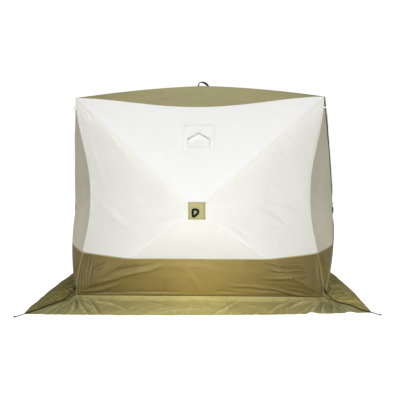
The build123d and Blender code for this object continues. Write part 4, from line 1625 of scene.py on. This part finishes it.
def ventHood():
    corners = gableOutline(0, vent["hoodLeg"])
    path = [spot for start, end in zip(corners, corners[1:]) for spot in spotsBetween(start, end, 14)]
    path = np.array(path + [corners[-1]])
    tangent = unit(np.gradient(path, axis=0))
    outside = np.stack([-tangent[:, 1], tangent[:, 0]], -1)
    depths = np.linspace(0, 1, 8)
    rows = []
    for depth in depths:
        sag = 2.2 * math.sin(depth * math.pi) + 3.0 * depth
        for (x, z), (ox, oz) in zip(path, outside):
            reach = vent["hoodReach"] * np.interp(z, [-vent["hoodLeg"], -30, 0], [0.15, 0.75, 1.0])
            spot = onWall("front", vent["x"] + x - ox * sag, vent["z"] + z - oz * sag, 0)[0]
            rows.append(spot + np.array([0, -3.0 - reach * depth, 0]))
    points = np.array(rows)
    uv = np.stack(np.meshgrid(np.linspace(0, 0.36, len(path)), depths * 0.034), -1).reshape(-1, 2)
    piece = showMesh("ventHood", points * mm, gridFaces(len(depths), len(path)), looks["tapeCloth"], uv)
    thicken(piece, 2.0, 0)
    fixNormals(piece)
    finish(piece, "white_cloth", "vent_hood")
    piping = ringTube([p * mm for p in points[-len(path):]], 2.4 * mm, 8)
    finish(joinParts("ventHoodPiping", [(*piping, None)], looks["meshCloth"]), "mesh_cloth")


ventPatch()
ventHood()
print("stage: vent sewn")

zipper = {
    # width, lift and thickness of the tape in millimetres
    "tape": (24.0, 1.6, 2.6),
    "step": 12.0,
    # rows: distance from the middle, lift, size of one piece
    "entranceZipTeeth": (1.6, 2.4, {"pitch": 4.6, "length": 2.6, "thick": 1.25}),
    "entranceZipStitches": (9.0, 2.0, {"pitch": 9.0, "length": 6.0, "thick": 0.5}),
}


# Spots round the outline of the entrance, from its lower near corner.
def doorPath():
    near, far, foot, head = door["near"], door["far"], door["foot"], door["head"]
    r, q = door["corner"], door["lowCorner"]
    spots = []

    def arc(cx, cz, radius, start, stop):
        count = max(4, int(radius * abs(stop - start) / zipper["step"]))
        for k in range(count):
            angle = start + (stop - start) * k / count
            spots.append((cx + radius * math.cos(angle), cz + radius * math.sin(angle)))

    def line(x0, z0, x1, z1):
        count = max(2, int(math.hypot(x1 - x0, z1 - z0) / zipper["step"]))
        spots.extend(spotsBetween((x0, z0), (x1, z1), count))

    line(near + q, foot, far - q, foot)
    arc(far - q, foot + q, q, -math.pi / 2, 0)
    line(far, foot + q, far, head - r)
    arc(far - r, head - r, r, 0, math.pi / 2)
    line(far - r, head, near + r, head)
    arc(near + r, head - r, r, math.pi / 2, math.pi)
    line(near, head - r, near, foot + q)
    arc(near + q, foot + q, q, math.pi, 1.5 * math.pi)
    spots.append(spots[0])
    return spots


def makeZip():
    points, normals = wallLine("right", doorPath())
    along = np.gradient(points, axis=0)
    along[0] = along[-1] = points[1] - points[-2]
    ups = unit(np.cross(along, normals))
    tape = wallRibbon("right", points, normals, ups, *zipper["tape"])
    finish(joinParts("entranceZipTape", [tape], looks["zipTape"]), "zip_tape", "entrance_zip")
    for name in ("entranceZipTeeth", "entranceZipStitches"):
        far, lift, size = zipper[name]
        rows = [spun(points + ups * shift + normals * lift, "right") * mm for shift in (-far, far)]
        stitchLines(name, rows, "blackThread", "zip_tape", size)


makeZip()
print("stage: entrance zipped")

tabs = {
    "width": 24.0, "length": 46.0, "thick": 3.0, "drop": 90.0, "gap": 0.5, "bevel": 0.7, "count": 36,
    # eyelet: radius of its hole, of its ring, and of the ring's wire
    "eyelet": (3.6, 4.7, 0.9),
    "stitches": {"pitch": 4.0, "length": 2.8, "thick": 0.4},
}


def seamInset(height):
    return shelter["half"] - postX(height)


# Rings of a profile in share and offset, from the eyelet out to the tab's outline.
def cornerTab():
    low, wide = shelter["seamHeight"] + tabs["length"], tabs["width"]
    near = [tabs["gap"] - math.sqrt(2) * seamInset(z) for z in (low, low + tabs["length"])]
    middle = (wide * 0.75, low - wide / 2)
    outline = [(near[0], low), (near[1], low + tabs["length"]), (wide, low - wide / 4), (wide, low - wide)]
    hub = np.array(middle)
    hole, radius, wire = tabs["eyelet"]
    profile = [(0.0, -0.6), (0.04, -1.0), (0.5, -1.0), (0.96, -1.0), (1.0, -0.5)]
    profile += [(share, -side) for share, side in reversed(profile)]
    angles = list(np.linspace(-math.pi, math.pi, 60, endpoint=False))
    angles += [math.atan2(b - middle[1], a - middle[0]) for a, b in outline]
    rings = []
    for angle in sorted(angles):
        far = np.array(reachOf(outline, middle, angle))
        close = hub + np.array([math.cos(angle), math.sin(angle)]) * hole
        for share, side in profile:
            rings.append(tabPoint(*(close + (far - close) * share), side * tabs["thick"] / 2))
    plate = (np.array(rings), ringFaces(len(angles), len(profile), True))
    turn = np.linspace(0, 2 * math.pi, 20, endpoint=False)
    face = tabs["thick"] / 2 + 0.3
    eyelets, lines = [], []
    for side in (-face, face):
        ring = [hub + np.array([math.cos(q), math.sin(q)]) * radius for q in turn]
        eyelets.append(ringTube([tabPoint(*spot, side) for spot in ring], wire, 8, True))
        for inset in (3.0, 7.0):
            start = np.array([near[0] + inset + 1, low + 1])
            stop = np.array([near[1] + inset + 2, low + tabs["length"] - inset * 1.6])
            lines.append([tabPoint(*(start + (stop - start) * q), side) for q in np.linspace(0, 1, 12)])
    return plate, eyelets, lines


def tabPoint(a, b, side):
    flat = -shelter["half"] - a / math.sqrt(2)
    lean = side / math.sqrt(2)
    return (flat - lean, flat + lean, b)


def topTab():
    radius, thick, tall, count = tabs["width"] / 2, tabs["thick"], tabs["width"] / 4, tabs["count"]
    height = shelter["cornerHeight"] - tabs["drop"]
    out = (radius + tabs["gap"]) / math.sqrt(2) - seamInset(height)
    centre = -shelter["half"] - out
    profile = strapProfile(radius - thick, radius, -tall, tall, tabs["bevel"])
    vertices = []
    for i in range(count):
        c, q = math.cos(2 * math.pi * i / count), math.sin(2 * math.pi * i / count)
        vertices += [(centre + r * c, centre + r * q, height + z) for r, z in profile]
    return np.array(vertices), ringFaces(count, len(profile), True)


def makeTabs():
    plate, eyelets, lines = cornerTab()
    made = {"plates": [plate], "metal": eyelets, "rings": [topTab()]}

    def allRound(key):
        return [(spun(np.array([tuple(v) for v in vertices]), wall) * mm, faces, None)
                for wall in turns for vertices, faces in made[key]]

    thread = [spun(np.array(line), wall) * mm for wall in turns for line in lines]
    finish(joinParts("cornerTabs", allRound("plates"), looks["blackWebbing"]), "black_webbing", "corner_tabs")
    finish(joinParts("cornerTabEyelets", allRound("metal"), looks["zipMetal"]), "black_webbing")
    finish(joinParts("topCornerTabs", allRound("rings"), looks["tapeCloth"]), "white_cloth", "top_corner_tabs")
    stitchLines("cornerTabStitches", thread, "oliveThread", "black_webbing", tabs["stitches"])


makeTabs()
print("stage: tabs sewn")

nodeLooks = {
    "glassFibre": ["front_rods", "right_rods", "back_rods", "left_rods", "roof_rods"],
    "mouldedHub": ["hub_fittings"],
    "rubberBoot": ["top_corner_boots", "base_corner_boots"],
}
for look, nodes in nodeLooks.items():
    for node in nodes:
        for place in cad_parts[node].material_slots:
            place.material = looks[look]
print("stage: frame parts painted")

studio = {
    "floorSize": 60.0,
    "floorColour": 0.85,
    "floorGlow": 0.80,
    "ambient": 0.27,
    "lights": {
        # place, aim, power, width, height
        "keyLight": ((0.1, -6.2, 3.0), (0.0, -0.8, 0.8), 162.0, 2.2, 1.6),
        "roofLight": ((0.0, 0.6, 4.9), (0.0, 0.0, 1.7), 80.0, 3.0, 2.0),
        "bounceLight": ((0.0, -3.5, 0.05), (0.0, -1.1, 0.5), 24.0, 3.4, 1.2),
    },
}


def makeStage():
    half = studio["floorSize"] / 2
    corners = [(-half, -half, 0), (half, -half, 0), (half, half, 0), (-half, half, 0)]
    floor = showMesh("studioFloor", corners, [(0, 1, 2, 3)], bpy.data.materials.new("studioFloor"), None, False)
    material = floor.data.materials[0]
    material.use_nodes = True
    tree = material.node_tree
    tree.nodes.clear()
    out = addNode(tree, "ShaderNodeOutputMaterial")
    plain = addNode(tree, "ShaderNodeBsdfDiffuse")
    plain.inputs["Color"].default_value = (studio["floorColour"],) * 3 + (1,)
    glow = addNode(tree, "ShaderNodeEmission")
    path = addNode(tree, "ShaderNodeLightPath")
    seen = addNode(tree, "ShaderNodeMath", operation="MULTIPLY")
    seen.inputs[1].default_value = studio["floorGlow"]
    both = addNode(tree, "ShaderNodeAddShader")
    link = tree.links.new
    link(path.outputs["Is Camera Ray"], seen.inputs[0])
    link(seen.outputs[0], glow.inputs["Strength"])
    link(plain.outputs[0], both.inputs[0])
    link(glow.outputs[0], both.inputs[1])
    link(both.outputs[0], out.inputs["Surface"])


# A sky that lights the object softly and looks white to the camera.
def makeWorld():
    world = bpy.data.worlds.new("studioSky")
    bpy.context.scene.world = world
    world.use_nodes = True
    tree = world.node_tree
    tree.nodes.clear()
    mix = addNode(tree, "ShaderNodeMixShader")
    for slot, strength in ((1, studio["ambient"]), (2, 1.0)):
        sky = addNode(tree, "ShaderNodeBackground")
        sky.inputs["Color"].default_value = (1, 1, 1, 1)
        sky.inputs["Strength"].default_value = strength
        tree.links.new(sky.outputs[0], mix.inputs[slot])
    path = addNode(tree, "ShaderNodeLightPath")
    tree.links.new(path.outputs["Is Camera Ray"], mix.inputs["Fac"])
    out = addNode(tree, "ShaderNodeOutputWorld")
    tree.links.new(mix.outputs[0], out.inputs["Surface"])


def makeLight(name, place, aim, power, width, height):
    data = bpy.data.lights.new(name, "AREA")
    data.energy = power
    data.shape = "RECTANGLE"
    data.size = width
    data.size_y = height
    addObject(name, data, place, aim).visible_camera = False


makeStage()
makeWorld()
for name, values in studio["lights"].items():
    makeLight(name, *values)
bpy.context.scene.view_settings.view_transform = "Standard"
print("stage: studio lit")

shown = [piece for piece in bpy.data.objects if piece.type == "MESH" and not piece.hide_render]
print("triangles", sum(len(f.vertices) - 2 for piece in shown for f in piece.data.polygons))
